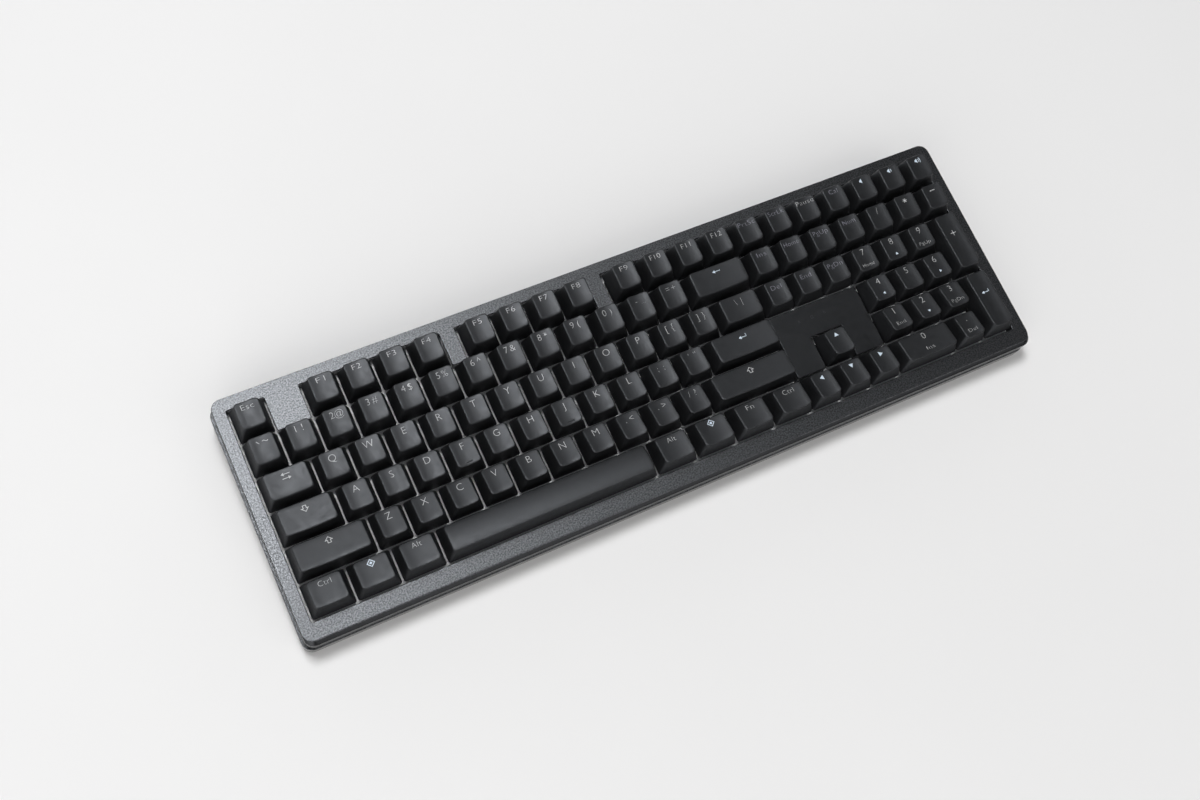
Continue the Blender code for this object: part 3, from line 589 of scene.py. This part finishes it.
def flat_text(text):
    """The filled outlines of a text in the font at size 1, as (points, faces)."""
    curve = bpy.data.curves.new("word", "FONT")
    curve.body = text
    curve.size = 1.0
    curve.resolution_u = 3
    curve.offset = THINNING
    curve.space_character = SPACING
    shape = bpy.data.objects.new("word", curve)
    bpy.context.scene.collection.objects.link(shape)
    mesh = shape.to_mesh()
    points = [Vector(v.co.xy) for v in mesh.vertices]
    faces = [tuple(p.vertices) for p in mesh.polygons]
    shape.to_mesh_clear()
    bpy.data.objects.remove(shape, do_unlink=True)
    bpy.data.curves.remove(curve)
    return points, faces


CAPITAL = max(p.y for p in flat_text("H")[0])


def text_shape(text, cap_height, width=None):
    """A word, centred, with its capitals this high and as wide as asked."""
    points, faces = flat_text(text)
    left, right = min(p.x for p in points), max(p.x for p in points)
    scale_y = cap_height / CAPITAL
    scale_x = width / (right - left) if width else scale_y
    middle = Vector(((left + right) / 2, CAPITAL / 2))
    return [Vector(((p.x - middle.x) * scale_x, (p.y - middle.y) * scale_y)) for p in points], faces


def polygon(points):
    return [Vector(p) * MM for p in points], [tuple(range(len(points)))]


def stroke(points, closed=False, line=LINE):
    """A line of even width through points given in millimetres."""
    path = [Vector(p) * MM for p in points]
    count = len(path)
    left, right = [], []
    for i, here in enumerate(path):
        before = path[i - 1] if closed or i else None
        after = path[(i + 1) % count] if closed or i < count - 1 else None
        ahead = (after - here).normalized() if after else (here - before).normalized()
        behind = (here - before).normalized() if before else ahead
        across = Vector((-behind.y - ahead.y, behind.x + ahead.x)).normalized()
        reach = line / 2 / max(0.35, across.dot(Vector((-ahead.y, ahead.x))))
        left.append(here + across * reach)
        right.append(here - across * reach)
    faces = []
    for i in range(count if closed else count - 1):
        k = (i + 1) % count
        faces.append((i, k, count + k, count + i))
    return left + right, faces


def moved(shape, x=0.0, y=0.0):
    points, faces = shape
    return [p + Vector((x, y)) * MM for p in points], faces


def merged(*shapes):
    points, faces = [], []
    for more, loops in shapes:
        start = len(points)
        points += more
        faces += [tuple(start + i for i in loop) for loop in loops]
    return points, faces


def triangle(turn, size=1.5):
    """A filled triangle pointing right, turned anticlockwise in degrees."""
    rotate = Matrix.Rotation(math.radians(turn), 2)
    return polygon([rotate @ Vector(p) * size for p in ((0.9, 0), (-0.7, 0.95), (-0.7, -0.95))])


def arrow_up(turn=0.0):
    """The outlined arrow of Shift, or turned over, of Caps Lock."""
    half = [(0.0, 1.7), (1.75, 0.0), (0.8, 0.0), (0.8, -1.5)]
    outline = half + [(-x, y) for x, y in reversed(half[1:])]
    turned = [Matrix.Rotation(math.radians(turn), 2) @ Vector(p) for p in outline]
    return stroke(turned, closed=True)


def arrow_tab():
    upper = merged(stroke([(-1.5, 1.1), (2.2, 1.1)]), moved(triangle(180, 0.9), -1.6, 1.1))
    lower = merged(stroke([(-2.2, -1.1), (1.5, -1.1)]), moved(triangle(0, 0.9), 1.6, -1.1))
    return merged(upper, lower)


def arrow_back():
    return merged(stroke([(-1.0, 0.0), (2.3, 0.0)]), moved(triangle(180, 1.0), -1.6, 0.0))


def arrow_enter():
    return merged(stroke([(-1.0, -0.6), (2.2, -0.6), (2.2, 1.0)]), moved(triangle(180, 1.0), -1.6, -0.6))


def system_mark():
    """A plain diamond inside a diamond for the system key."""
    outer = stroke([(0, 1.9), (1.9, 0), (0, -1.9), (-1.9, 0)], closed=True, line=0.42 * MM)
    return merged(outer, polygon([(0, 0.85), (0.85, 0), (0, -0.85), (-0.85, 0)]))


def accent_and_tilde():
    wave = [(x, 0.42 * math.sin(-2.0 * x)) for x in np.linspace(-1.5, 1.5, 9)]
    return merged(stroke([(-2.6, 0.9), (-1.4, -0.5)]), moved(stroke(wave), 1.7, 0.2))


def speaker(waves):
    horn = polygon([(-0.6, 0.55), (-0.6, -0.55), (-0.1, -0.55), (1.0, -1.4), (1.0, 1.4), (-0.1, 0.55)])
    parts = [moved(horn, -0.6)]
    for k in range(waves):
        reach = 1.3 + 0.9 * k
        arc = [(reach * math.cos(a), reach * math.sin(a)) for a in np.linspace(-0.75, 0.75, 7)]
        parts.append(moved(stroke(arc), 0.1))
    return merged(*parts)


def lay_flat(skin, shape, height, x, y, slot):
    """Adds a flat shape that faces up, in a material slot. The height is a function of x and y."""
    points, faces = shape
    verts = [skin.bm.verts.new((x + p.x, y + p.y, height(x + p.x, y + p.y))) for p in points]
    for loop in faces:
        face = skin.bm.faces.new([verts[i] for i in loop])
        face.normal_update()
        if face.normal.z < 0:
            face.normal_flip()
        face.material_index = slot


def add_legend(skin, cap, shape, back, slot):
    """Lays a flat shape on a cap's top, its middle this far in front of the top's rear edge."""
    y = cap.top[3] - (cap.legend_back if back is None else back)
    lay_flat(skin, shape, cap.below_top(-INK_RISE), cap.middle, y, slot)


def word(text, width=None, height=WORD_HEIGHT):
    return text_shape(text, height * MM, width * MM if width else None)


def letter(text):
    return text_shape(text, LETTER_HEIGHT)


def pair(first, second):
    """Two signs side by side."""
    signs = ((first, -PAIR_SHIFT), (second, PAIR_SHIFT))
    return merged(*(moved(text_shape(sign, PAIR_HEIGHT), x) for sign, x in signs))


NUMBERS = "`~ 1! 2@ 3# 4$ 5% 6^ 7& 8* 9( 0) -_ =+".split()
SPEAKERS = ("mute", "quieter", "louder")
SMALL_WORD, UNDER_WORD = 2.6, 2.0  # capitals' heights, in millimetres


def legends_of():
    """(name, cell, width, row, depth, body, list of (shape, distance from the rear edge, is an icon))."""
    table = []

    def key(name, cell, width, row, body, *marks, depth=1):
        table.append((name, cell, width, row, depth, body, marks))

    def plain(shape, back=None, icon=False):
        return shape, back, icon

    key("esc", 0, 1, 5, "key_esc", plain(word("Esc", 6.5)))
    for i in range(12):
        start = 2 + i + 0.5 * (i // 4)
        bank = ("left", "middle", "right")[i // 4]
        name = f"F{i + 1}"
        width = 4.6 if i < 9 else {"F11": 5.6}.get(name, 6.3)
        key(name.lower(), start, 1, 5, f"keys_function_{bank}", plain(word(name, width)))
    for i, (name, width) in enumerate((("PrtSc", 10.4), ("ScrLk", 9.6), ("Pause", 11.0), ("Cal", 5.4))):
        key(name.lower(), 15 + i, 1, 5, "keys_function_right", plain(word(name, width, SMALL_WORD)))
    for i, name in enumerate(SPEAKERS):
        key(name, 19 + i, 1, 5, "keys_function_right", plain(speaker(i), None, True))
    for i, signs in enumerate(NUMBERS):
        shape = pair(*signs) if i else accent_and_tilde()
        key(f"number_{i}", i, 1, 4, "keys_number_row", plain(shape))
    key("backspace", 13, 2, 4, "keys_number_row", plain(arrow_back(), None, True))
    key("tab", 0, 1.5, 3, "key_tab", plain(arrow_tab()))
    for row, start, letters in ((3, 1.5, "qwertyuiop"), (2, 1.75, "asdfghjkl"), (1, 2.25, "zxcvbnm")):
        for i, name in enumerate(letters):
            key(name, start + i, 1, row, f"key_{name}", plain(letter(name.upper())))
    signs = (
        ("bracket_left", 11.5, 1, 3, "[{"),
        ("bracket_right", 12.5, 1, 3, "]}"),
        ("backslash", 13.5, 1.5, 3, "\\|"),
        ("semicolon", 10.75, 1, 2, ";:"),
        ("quote", 11.75, 1, 2, "'\""),
        ("comma", 9.25, 1, 1, ",<"),
        ("period", 10.25, 1, 1, ".>"),
        ("slash", 11.25, 1, 1, "/?"),
    )
    for name, cell, width, row, text in signs:
        key(name, cell, width, row, "keys_punctuation", plain(pair(*text)))
    key("caps_lock", 0, 1.75, 2, "key_caps_lock", plain(arrow_up(180)))
    key("enter", 12.75, 2.25, 2, "key_enter", plain(arrow_enter(), None, True))
    key("left_shift", 0, 2.25, 1, "key_left_shift", plain(arrow_up()))
    key("right_shift", 12.25, 2.75, 1, "key_right_shift", plain(arrow_up()))
    for i, name in enumerate(("left_ctrl", "left_system", "left_alt")):
        mark = (word("Ctrl", 6.6), system_mark(), word("Alt", 5.0))[i]
        key(name, 1.25 * i, 1.25, 0, "keys_left_modifiers", plain(mark, None, i == 1))
    key("space", 3.75, 6.25, 0, "key_space")
    for i, name in enumerate(("right_alt", "right_system", "fn", "right_ctrl")):
        mark = (word("Alt", 5.0), system_mark(), word("Fn", 4.4), word("Ctrl", 6.6))[i]
        key(name, 10 + 1.25 * i, 1.25, 0, "keys_right_modifiers", plain(mark, None, i == 1))
    arrows = (("left", 15, 0, 180), ("down", 16, 0, 270), ("right", 17, 0, 0), ("up", 16, 1, 90))
    for name, cell, row, turn in arrows:
        key(f"arrow_{name}", cell, 1, row, "keys_arrows", plain(triangle(turn), 3.2 * MM, True))
    blocks = (("Ins", 5.6, "Home", 9.4, "PgUp", 9.2), ("Del", 6.4, "End", 6.6, "PgDn", 9.4))
    for i, names in enumerate(blocks):
        for k in range(3):
            name, width = names[2 * k], names[2 * k + 1]
            key(name.lower(), 15 + k, 1, 4 - i, "keys_navigation", plain(word(name, width, SMALL_WORD)))
    spokes = [Vector((1.3 * math.cos(a), 1.3 * math.sin(a))) for a in (0.0, math.pi / 3, 2 * math.pi / 3)]
    top_row = (
        ("num", word("Num", 8.0, SMALL_WORD)),
        ("divide", letter("/")),
        ("multiply", merged(*(stroke([-spoke, spoke]) for spoke in spokes))),
        ("subtract", stroke([(-1.6, 0), (1.6, 0)], line=0.5 * MM)),
    )
    for i, (name, shape) in enumerate(top_row):
        key(f"num_{name}", 18 + i, 1, 4, "keys_numpad", plain(shape))
    under = ("End", 270, "PgDn", 180, None, 0, "Home", 90, "PgUp")
    for n in range(9):
        row, column = 1 + n // 3, n % 3
        mark = under[n]
        marks = [plain(letter(str(n + 1)), 3.1 * MM)]
        if isinstance(mark, str):
            width = {"End": 5.4, "PgDn": 7.6, "Home": 7.4, "PgUp": 7.4}[mark]
            marks.append(plain(word(mark, width, UNDER_WORD), 10.9 * MM))
        elif mark is not None:
            marks.append(plain(triangle(mark, 0.95), 10.8 * MM, True))
        key(f"num_{n + 1}", 18 + column, 1, row, "keys_numpad", *marks)
    insert, delete = word("Ins", 5.0, UNDER_WORD), word("Del", 5.6, UNDER_WORD)
    key("num_0", 18, 2, 0, "keys_numpad", plain(letter("0")), plain(insert, 10.6 * MM))
    key("num_point", 20, 1, 0, "keys_numpad", plain(letter(".")), plain(delete, 10.6 * MM))
    plus = merged(stroke([(-1.7, 0), (1.7, 0)]), stroke([(0, -1.7), (0, 1.7)]))
    key("num_add", 21, 1, 2, "keys_numpad", plain(plus, 12.0 * MM), depth=2)
    key("num_enter", 21, 1, 0, "keys_numpad", plain(arrow_enter(), 12.0 * MM, True), depth=2)
    return table


def add_homing_bar(skin, cap):
    """The raised bar on F and J, near the front edge of the top."""
    y = cap.top[2] + 1.1 * MM
    middle = Vector((cap.middle, y, cap.surface(cap.middle, y)))
    half, sunk, proud = Vector((1.9, 0.36, 0.0)) * MM, Vector((0, 0, 0.2 * MM)), Vector((0, 0, 0.5 * MM))
    add_block(skin, middle - half - sunk, middle + half + proud, 0.33 * MM, 0.22 * MM)


# The legends that catch the least light: their ink is painted darker, as painted shade.
SHADED_LEGENDS = ("prtsc", "scrlk", "cal", "ins", "home", "pgup", "del", "end", "pgdn", "num_num")


def make_keycaps():
    for name, cell, width, row, depth, body, marks in legends_of():
        cap = Cap(cell, width, row, depth, crowned=name == "space")
        skin = Skin()
        cap.build(skin)
        if name in ("f", "j"):
            add_homing_bar(skin, cap)
        bmesh.ops.recalc_face_normals(skin.bm, faces=skin.bm.faces)
        for shape, back, icon in marks:
            add_legend(skin, cap, shape, back, 2 if icon else 3 if name in SHADED_LEGENDS else 1)
        mesh = skin.mesh(f"cap_{name}", settle=False)
        add_piece(f"cap_{name}", mesh, body, [body], (CAP, INK, ICON_INK_AND_GLOW, SHADED_INK))


make_keycaps()


# ---------------------------------------------------------------- case

MARGIN_LEFT, MARGIN_RIGHT, MARGIN_FRONT = 7.0 * MM, 8.2 * MM, 9.2 * MM
LEAN_SIDE, CHAMFER, CHAMFER_FALL = 0.2 * MM, 2.2 * MM, 1.3 * MM
LIP_EDGE, COVER_EDGE = 0.35 * MM, 0.4 * MM  # rounded edges of the opening and of the cover
FIELD_FOOT = 0.3 * MM  # gap between the switch plate and what stands over it
FLAT = 0.9  # a face of the bezel carries the grain if its normal rises more than this
CASE_LOW, CASE_HIGH = deck_box("top_case")
EDGE, CORNER = 0.3 * MM, 5.5 * MM
BASE_FOOT = -17.0 * MM  # lower end of the smooth side, just over the underside
TOP_SKIN, WALL, LIP, OPENING_GAP = 2.4 * MM, 2.2 * MM, 1.6 * MM, 0.45 * MM
PLATE_TOP = deck_box("switch_plate")[1].z


def case_outline(z, inset=0.0):
    """The case's sides lean out a little on their way down, and its front edge has a wide chamfer."""
    down = min(1.0, z / CASE_LOW.z)
    left = -MARGIN_LEFT - LEAN_SIDE * down
    right = FIELD_X + MARGIN_RIGHT + LEAN_SIDE * down
    front = -MARGIN_FRONT - min(CHAMFER, -z * CHAMFER / CHAMFER_FALL)
    return rounded_outline(rectangle(left, right, front, CASE_HIGH.y), -inset, CORNER, 10)


def field_outline(grow):
    g = OPENING_GAP
    rear, tab_y = FIELD_Y + g, (ROWS - 1) * PITCH + g
    points = [(-g, -g), (FIELD_X + g, -g), (FIELD_X + g, rear)]
    for start, end in ((11.0, 10.5), (6.5, 6.0), (2.0, 1.0)):
        right, left = start * PITCH - g, end * PITCH + g
        points += [(right, rear), (right, tab_y), (left, tab_y), (left, rear)]
    return rounded_outline([*points, (-g, rear)], grow, 0.9 * MM, 4)


def even_normals(piece):
    piece.modifiers.new("even_normals", "WEIGHTED_NORMAL").keep_sharp = True


def make_top_case():
    skin = Skin()
    foot = CASE_LOW.z
    outer = [skin.ring(case_outline(foot, WALL), foot)]
    outer.append(skin.ring(case_outline(foot, 0.35 * MM), foot))
    outer.append(skin.ring(case_outline(foot, 0.05 * MM), foot + 0.35 * MM))
    for z in (foot / 2, *(-CHAMFER_FALL - d * MM for d in (0.4, 0.1, -0.15))):
        outer.append(skin.ring(case_outline(z), z))
    for fall, inset in quarter(8):
        outer.append(skin.ring(case_outline(-EDGE * fall, EDGE * inset), -EDGE * fall))
    outer.append(skin.ring(case_outline(0.0, EDGE + 0.4 * MM), 0.0))
    skin.chain(outer)
    lip = [skin.ring(field_outline(0.7 * MM), 0.0)]
    for grow, fall in quarter(4):
        lip.append(skin.ring(field_outline(LIP_EDGE * grow), -LIP_EDGE * fall))
    under = PLATE_TOP + FIELD_FOOT
    lip.append(skin.ring(field_outline(0.0), under))
    lip.append(skin.ring(field_outline(LIP), under))
    lip.append(skin.ring(field_outline(LIP), -TOP_SKIN))
    skin.chain(lip)
    skin.fill([outer[-1], lip[0]])
    inside = skin.ring(case_outline(-TOP_SKIN, WALL), -TOP_SKIN)
    skin.join(inside, outer[0])
    skin.fill([inside, lip[-1]], up=False)
    mesh = skin.mesh("bezel")
    for face in mesh.polygons:
        face.material_index = 0 if face.normal.z > FLAT else 1
    even_normals(add_piece("bezel", mesh, "body", ["top_case"], (CASE, SMOOTH)))


WINDOWS_X, WINDOWS_Y, WINDOW_LINE = (302.0 * MM, 310.3 * MM, 318.6 * MM), 49.0 * MM, 0.22 * MM


def make_nav_cover():
    """The cover between the navigation keys and the arrows, with three small indicator windows."""
    g, foot = OPENING_GAP, PLATE_TOP + FIELD_FOOT
    rise = deck_box("nav_cover")[1].z
    left, right = 15 * PITCH + g, 18 * PITCH - g
    front, rear = PITCH + g, 3 * PITCH - g
    notch_left, notch_right, notch_top = 16 * PITCH - g, 17 * PITCH + g, 2 * PITCH + g
    outline = [
        (left, front),
        (notch_left, front),
        (notch_left, notch_top),
        (notch_right, notch_top),
        (notch_right, front),
        (right, front),
        (right, rear),
        (left, rear),
    ]

    skin = Skin()

    def ring(inset, z):
        return skin.ring(rounded_outline(outline, -inset, 0.7 * MM, 4), z)

    rings = [ring(LIP, foot), ring(0.0, foot)]
    rings += [ring(COVER_EDGE * inset, rise - COVER_EDGE * fall) for fall, inset in quarter(4)]
    rings.append(ring(2 * COVER_EDGE, rise))
    skin.chain(rings)
    skin.fill([rings[-1]])
    hollow = ring(LIP, rise - TOP_SKIN)
    skin.join(hollow, rings[0])
    skin.fill([hollow], up=False)
    bmesh.ops.recalc_face_normals(skin.bm, faces=skin.bm.faces)
    caret = stroke([(-0.5, -0.8), (0, 0.7), (0.5, -0.8)], line=WINDOW_LINE)
    square = stroke([(-0.6, 0.8), (0.6, 0.8), (0.6, -0.8), (-0.6, -0.8)], True, WINDOW_LINE)
    angle = stroke([(-0.5, -0.8), (-0.5, 0.8), (0.6, -0.8)], line=WINDOW_LINE)
    for shape, x in zip((caret, square, angle), WINDOWS_X, strict=True):
        lay_flat(skin, shape, lambda x, y: rise + 0.02 * MM, x, WINDOWS_Y, 1)
    mesh = skin.mesh("nav_panel", settle=False)
    even_normals(add_piece("nav_panel", mesh, "body", ["nav_cover"], (COVER, FAINT_INK)))


# Round the socket's shell: the notch's room at its sides and above it, and the width of its slopes.
NOTCH_SIDE, NOTCH_ABOVE, NOTCH_SLOPE = 1.5 * MM, 0.9 * MM, 0.5 * MM


def make_base_wall():
    """The smooth upright side of the lower case, which stands a little proud of the upper one.

    Its foot rises round the opening of the USB-C socket in the rear.
    """
    top, foot = deck_box("bottom_case")[1].z, BASE_FOOT
    socket_low, socket_high = deck_box("usb_c_socket")
    left, right = socket_low.x - NOTCH_SIDE, socket_high.x + NOTCH_SIDE
    notch_rise = socket_high.z + NOTCH_ABOVE - foot
    cuts = (right + NOTCH_SLOPE, right, left, left - NOTCH_SLOPE)
    skin = Skin()
    proud, ledge, arc = 0.25 * MM, 0.3 * MM, 10

    def ring(grow, z, lifted=False):
        """The rear side runs from the third corner to the fourth, with four more points at the notch."""
        corners = rectangle(CASE_LOW.x, CASE_HIGH.x, CASE_LOW.y, CASE_HIGH.y)
        points = rounded_outline(corners, grow, CORNER, arc)
        at = 3 * (arc + 1)
        rear = [(x, CASE_HIGH.y + grow) for x in cuts]

        def height(x, y):
            inside = lifted and (x, y) in rear[1:3]
            return z + (notch_rise if inside else 0.0)

        return skin.ring([*points[:at], *rear, *points[at:]], height)

    rings = [ring(-0.3 * MM, foot, True), ring(proud - ledge, foot, True)]
    for inset, rise in quarter(3)[1:]:
        rings.append(ring(proud - ledge * inset, foot + ledge * rise, True))
    for fall, inset in quarter(3):
        rings.append(ring(proud - ledge * inset, top + 0.05 * MM - ledge * fall))
    rings.append(ring(-2.0 * MM, top + 0.05 * MM))
    rings.append(ring(-2.0 * MM, top - 0.6 * MM))
    rings.append(ring(-0.3 * MM, top - 0.6 * MM))
    skin.chain(rings)
    skin.join(rings[-1], rings[0])
    mesh = skin.mesh("base_wall")
    for face in mesh.polygons:
        face.material_index = 1 if abs(face.normal.z) > 0.6 else 0
    add_piece("base_wall", mesh, "body", materials=(SIDE, CASE))


def make_usb_socket():
    """A drawn steel shell, open to the rear, with the contact tongue in its middle."""
    low, high = deck_box("usb_c_socket")
    size = high - low
    centre = (low + high) / 2
    place = Matrix.Translation((centre.x, low.y, centre.z)) @ Matrix.Rotation(-math.pi / 2, 4, "X")
    half_x, half_z = size.x / 2, size.z / 2
    skin = Skin()
    wall, length, depth = 0.32 * MM, size.y, 6.2 * MM

    def ring(inset, z):
        edges = rectangle(-half_x, half_x, -half_z, half_z)
        return skin.ring(rounded_outline(edges, -inset, 1.45 * MM, 6), z)

    rings = [ring(0.3 * MM, 0.0), ring(0.0, 0.3 * MM), ring(0.0, length - 0.12 * MM)]
    rings += [ring(0.1 * MM, length)]
    rings += [ring(wall - 0.08 * MM, length), ring(wall, length - 0.15 * MM), ring(wall, length - depth)]
    skin.chain(rings)
    skin.cap(rings[0], up=False)
    skin.cap(rings[-1])
    tongue_x, tongue_y = 3.35 * MM, 0.35 * MM
    start, tip = length - depth - 0.1 * MM, length - depth + 5.4 * MM
    add_block(skin, (-tongue_x, -tongue_y, start), (tongue_x, tongue_y, tip), 0.25 * MM, 0.15 * MM)
    for i in range(12):  # contacts on both faces of the tongue, 0.5 mm apart
        x = (i - 5.5) * 0.5 * MM
        for side in (-1, 1):
            y = side * (tongue_y + 0.01 * MM)
            start = (x - 0.12 * MM, y - 0.03 * MM, tip - 4.6 * MM)
            end = (x + 0.12 * MM, y + 0.03 * MM, tip - 0.7 * MM)
            add_block(skin, start, end, 0.02 * MM, 0.01 * MM)
    mesh = skin.mesh("usb_shell")
    mesh.transform(place)
    add_piece("usb_shell", mesh, "body", ["usb_c_socket"], (SHELL,))


def dress(node, material, edge=0.0):
    """A CAD node keeps its shape. Its edges are rounded off, and it gets a better material."""
    piece = frame["nodes"][node]
    for holder in piece.material_slots:
        holder.material = material
    if edge:
        weld = piece.modifiers.new("weld", "WELD")
        weld.merge_threshold = 0.002 * MM
        flat = piece.modifiers.new("flat", "DECIMATE")
        flat.decimate_type = "DISSOLVE"
        flat.angle_limit = math.radians(1)
        soft = piece.modifiers.new("soft_edges", "BEVEL")
        soft.width = edge
        soft.segments = 2
        soft.limit_method = "ANGLE"
        soft.angle_limit = math.radians(40)
        even_normals(piece)


make_top_case()
make_nav_cover()
make_base_wall()
make_usb_socket()
dress("bottom_case", BASE, 0.35 * MM)
dress("switch_plate", PLATE)
dress("switch_housings", SWITCH)
dress("circuit_board", BOARD)
for foot in ("flip_foot_left", "flip_foot_right"):
    dress(foot, BASE, 0.3 * MM)
for pad in ("pad_front_left", "pad_front_right", "pad_rear_left", "pad_rear_right"):
    dress(pad, RUBBER, 0.3 * MM)
for wire in ("wire_enter", "wire_left_shift", "wire_right_shift", "wire_space"):
    dress(wire, STEEL)


# ---------------------------------------------------------------- floor, light and camera


FLOOR_REACH = 6.0
# Softboxes: name, direction towards it, distance, width, depth, radiance and colour.
SOFTBOXES = (
    ("key_light", (-0.12, 0.21, 1.0), 1.7, 0.60, 0.56, 18.0, (1.0, 1.0, 1.0)),
    ("fill_left", (-1.0, -1.0, 0.8), 2.7, 2.2, 1.8, 2.0, (1.0, 0.985, 0.965)),
    ("fill_front", (0.4, -1.0, 1.0), 2.7, 2.2, 1.8, 1.1, (1.0, 0.985, 0.965)),
)
ROOM_OVERHEAD, ROOM_HORIZON, ROOM_COLOR = 0.07, 0.85, (0.985, 0.99, 1.0, 1.0)
# The camera in the deck's axes, in millimetres.
EYE, AIM = (-30.6, -102.4, 680.7), (179.1, 49.6, 0.0)
RIGHT_OF_CAMERA = (0.8905, -0.4174, 0.1812)
SENSOR_WIDTH, LENS = 36.0, 41.46


def make_floor():
    skin = Skin()
    skin.cap(skin.ring(rectangle(-FLOOR_REACH, FLOOR_REACH, -FLOOR_REACH, FLOOR_REACH), 0.0))
    mesh = skin.mesh("floor", settle=False)
    mesh.materials.append(make_floor_material())
    floor = bpy.data.objects.new("floor", mesh)
    bpy.context.scene.collection.objects.link(floor)


def add_softbox(name, towards, distance, width, depth, radiance, color):
    """A rectangular softbox that faces the keyboard."""
    light = bpy.data.lights.new(name, "AREA")
    light.color = color
    light.shape = "RECTANGLE"
    light.size, light.size_y = width, depth
    light.energy = radiance * math.pi * width * depth
    lamp = bpy.data.objects.new(name, light)
    direction = Vector(towards).normalized()
    lamp.location = direction * distance
    lamp.rotation_euler = direction.to_track_quat("Z", "Y").to_euler()
    bpy.context.scene.collection.objects.link(lamp)


def make_world():
    """A soft room with a bright horizon that fades upwards, less far beyond the desk."""
    world = bpy.data.worlds.new("room")
    world.use_nodes = True
    tree = world.node_tree
    shader = tree.nodes["Background"]
    place = tree.nodes.new("ShaderNodeTexCoord")
    split = tree.nodes.new("ShaderNodeSeparateXYZ")
    tree.links.new(place.outputs["Generated"], split.inputs["Vector"])

    def fade(axis, limits, values):
        made = tree.nodes.new("ShaderNodeMapRange")
        names = ("From Min", "From Max", "To Min", "To Max")
        for name, value in zip(names, (*limits, *values), strict=True):
            made.inputs[name].default_value = value
        tree.links.new(split.outputs[axis], made.inputs["Value"])
        return made

    reach = fade("Y", (-0.5, 0.3), (0.20, 0.55))
    height = fade("Z", (0.05, 0.55), (ROOM_HORIZON, ROOM_OVERHEAD))
    tree.links.new(reach.outputs["Result"], height.inputs["From Max"])
    tree.links.new(height.outputs["Result"], shader.inputs["Strength"])
    shader.inputs["Color"].default_value = ROOM_COLOR
    bpy.context.scene.world = world


def make_camera():
    """High over the front left of the keyboard, turned so that it runs across the picture."""
    eye, aim = Vector(EYE) * MM, Vector(AIM) * MM
    back = (eye - aim).normalized()
    up = back.cross(Vector(RIGHT_OF_CAMERA)).normalized()
    right = up.cross(back)
    turned = Matrix((right, up, back)).transposed().to_4x4()
    data = bpy.data.cameras.new("camera")
    data.sensor_width = SENSOR_WIDTH
    data.lens = LENS
    data.clip_start, data.clip_end = 0.01, 50.0
    camera = bpy.data.objects.new("camera", data)
    camera.matrix_world = DECK @ Matrix.Translation(eye) @ turned
    bpy.context.scene.collection.objects.link(camera)
    bpy.context.scene.camera = camera


make_floor()
make_world()
for softbox in SOFTBOXES:
    add_softbox(*softbox)
make_camera()
bpy.context.scene.view_settings.view_transform = "Standard"
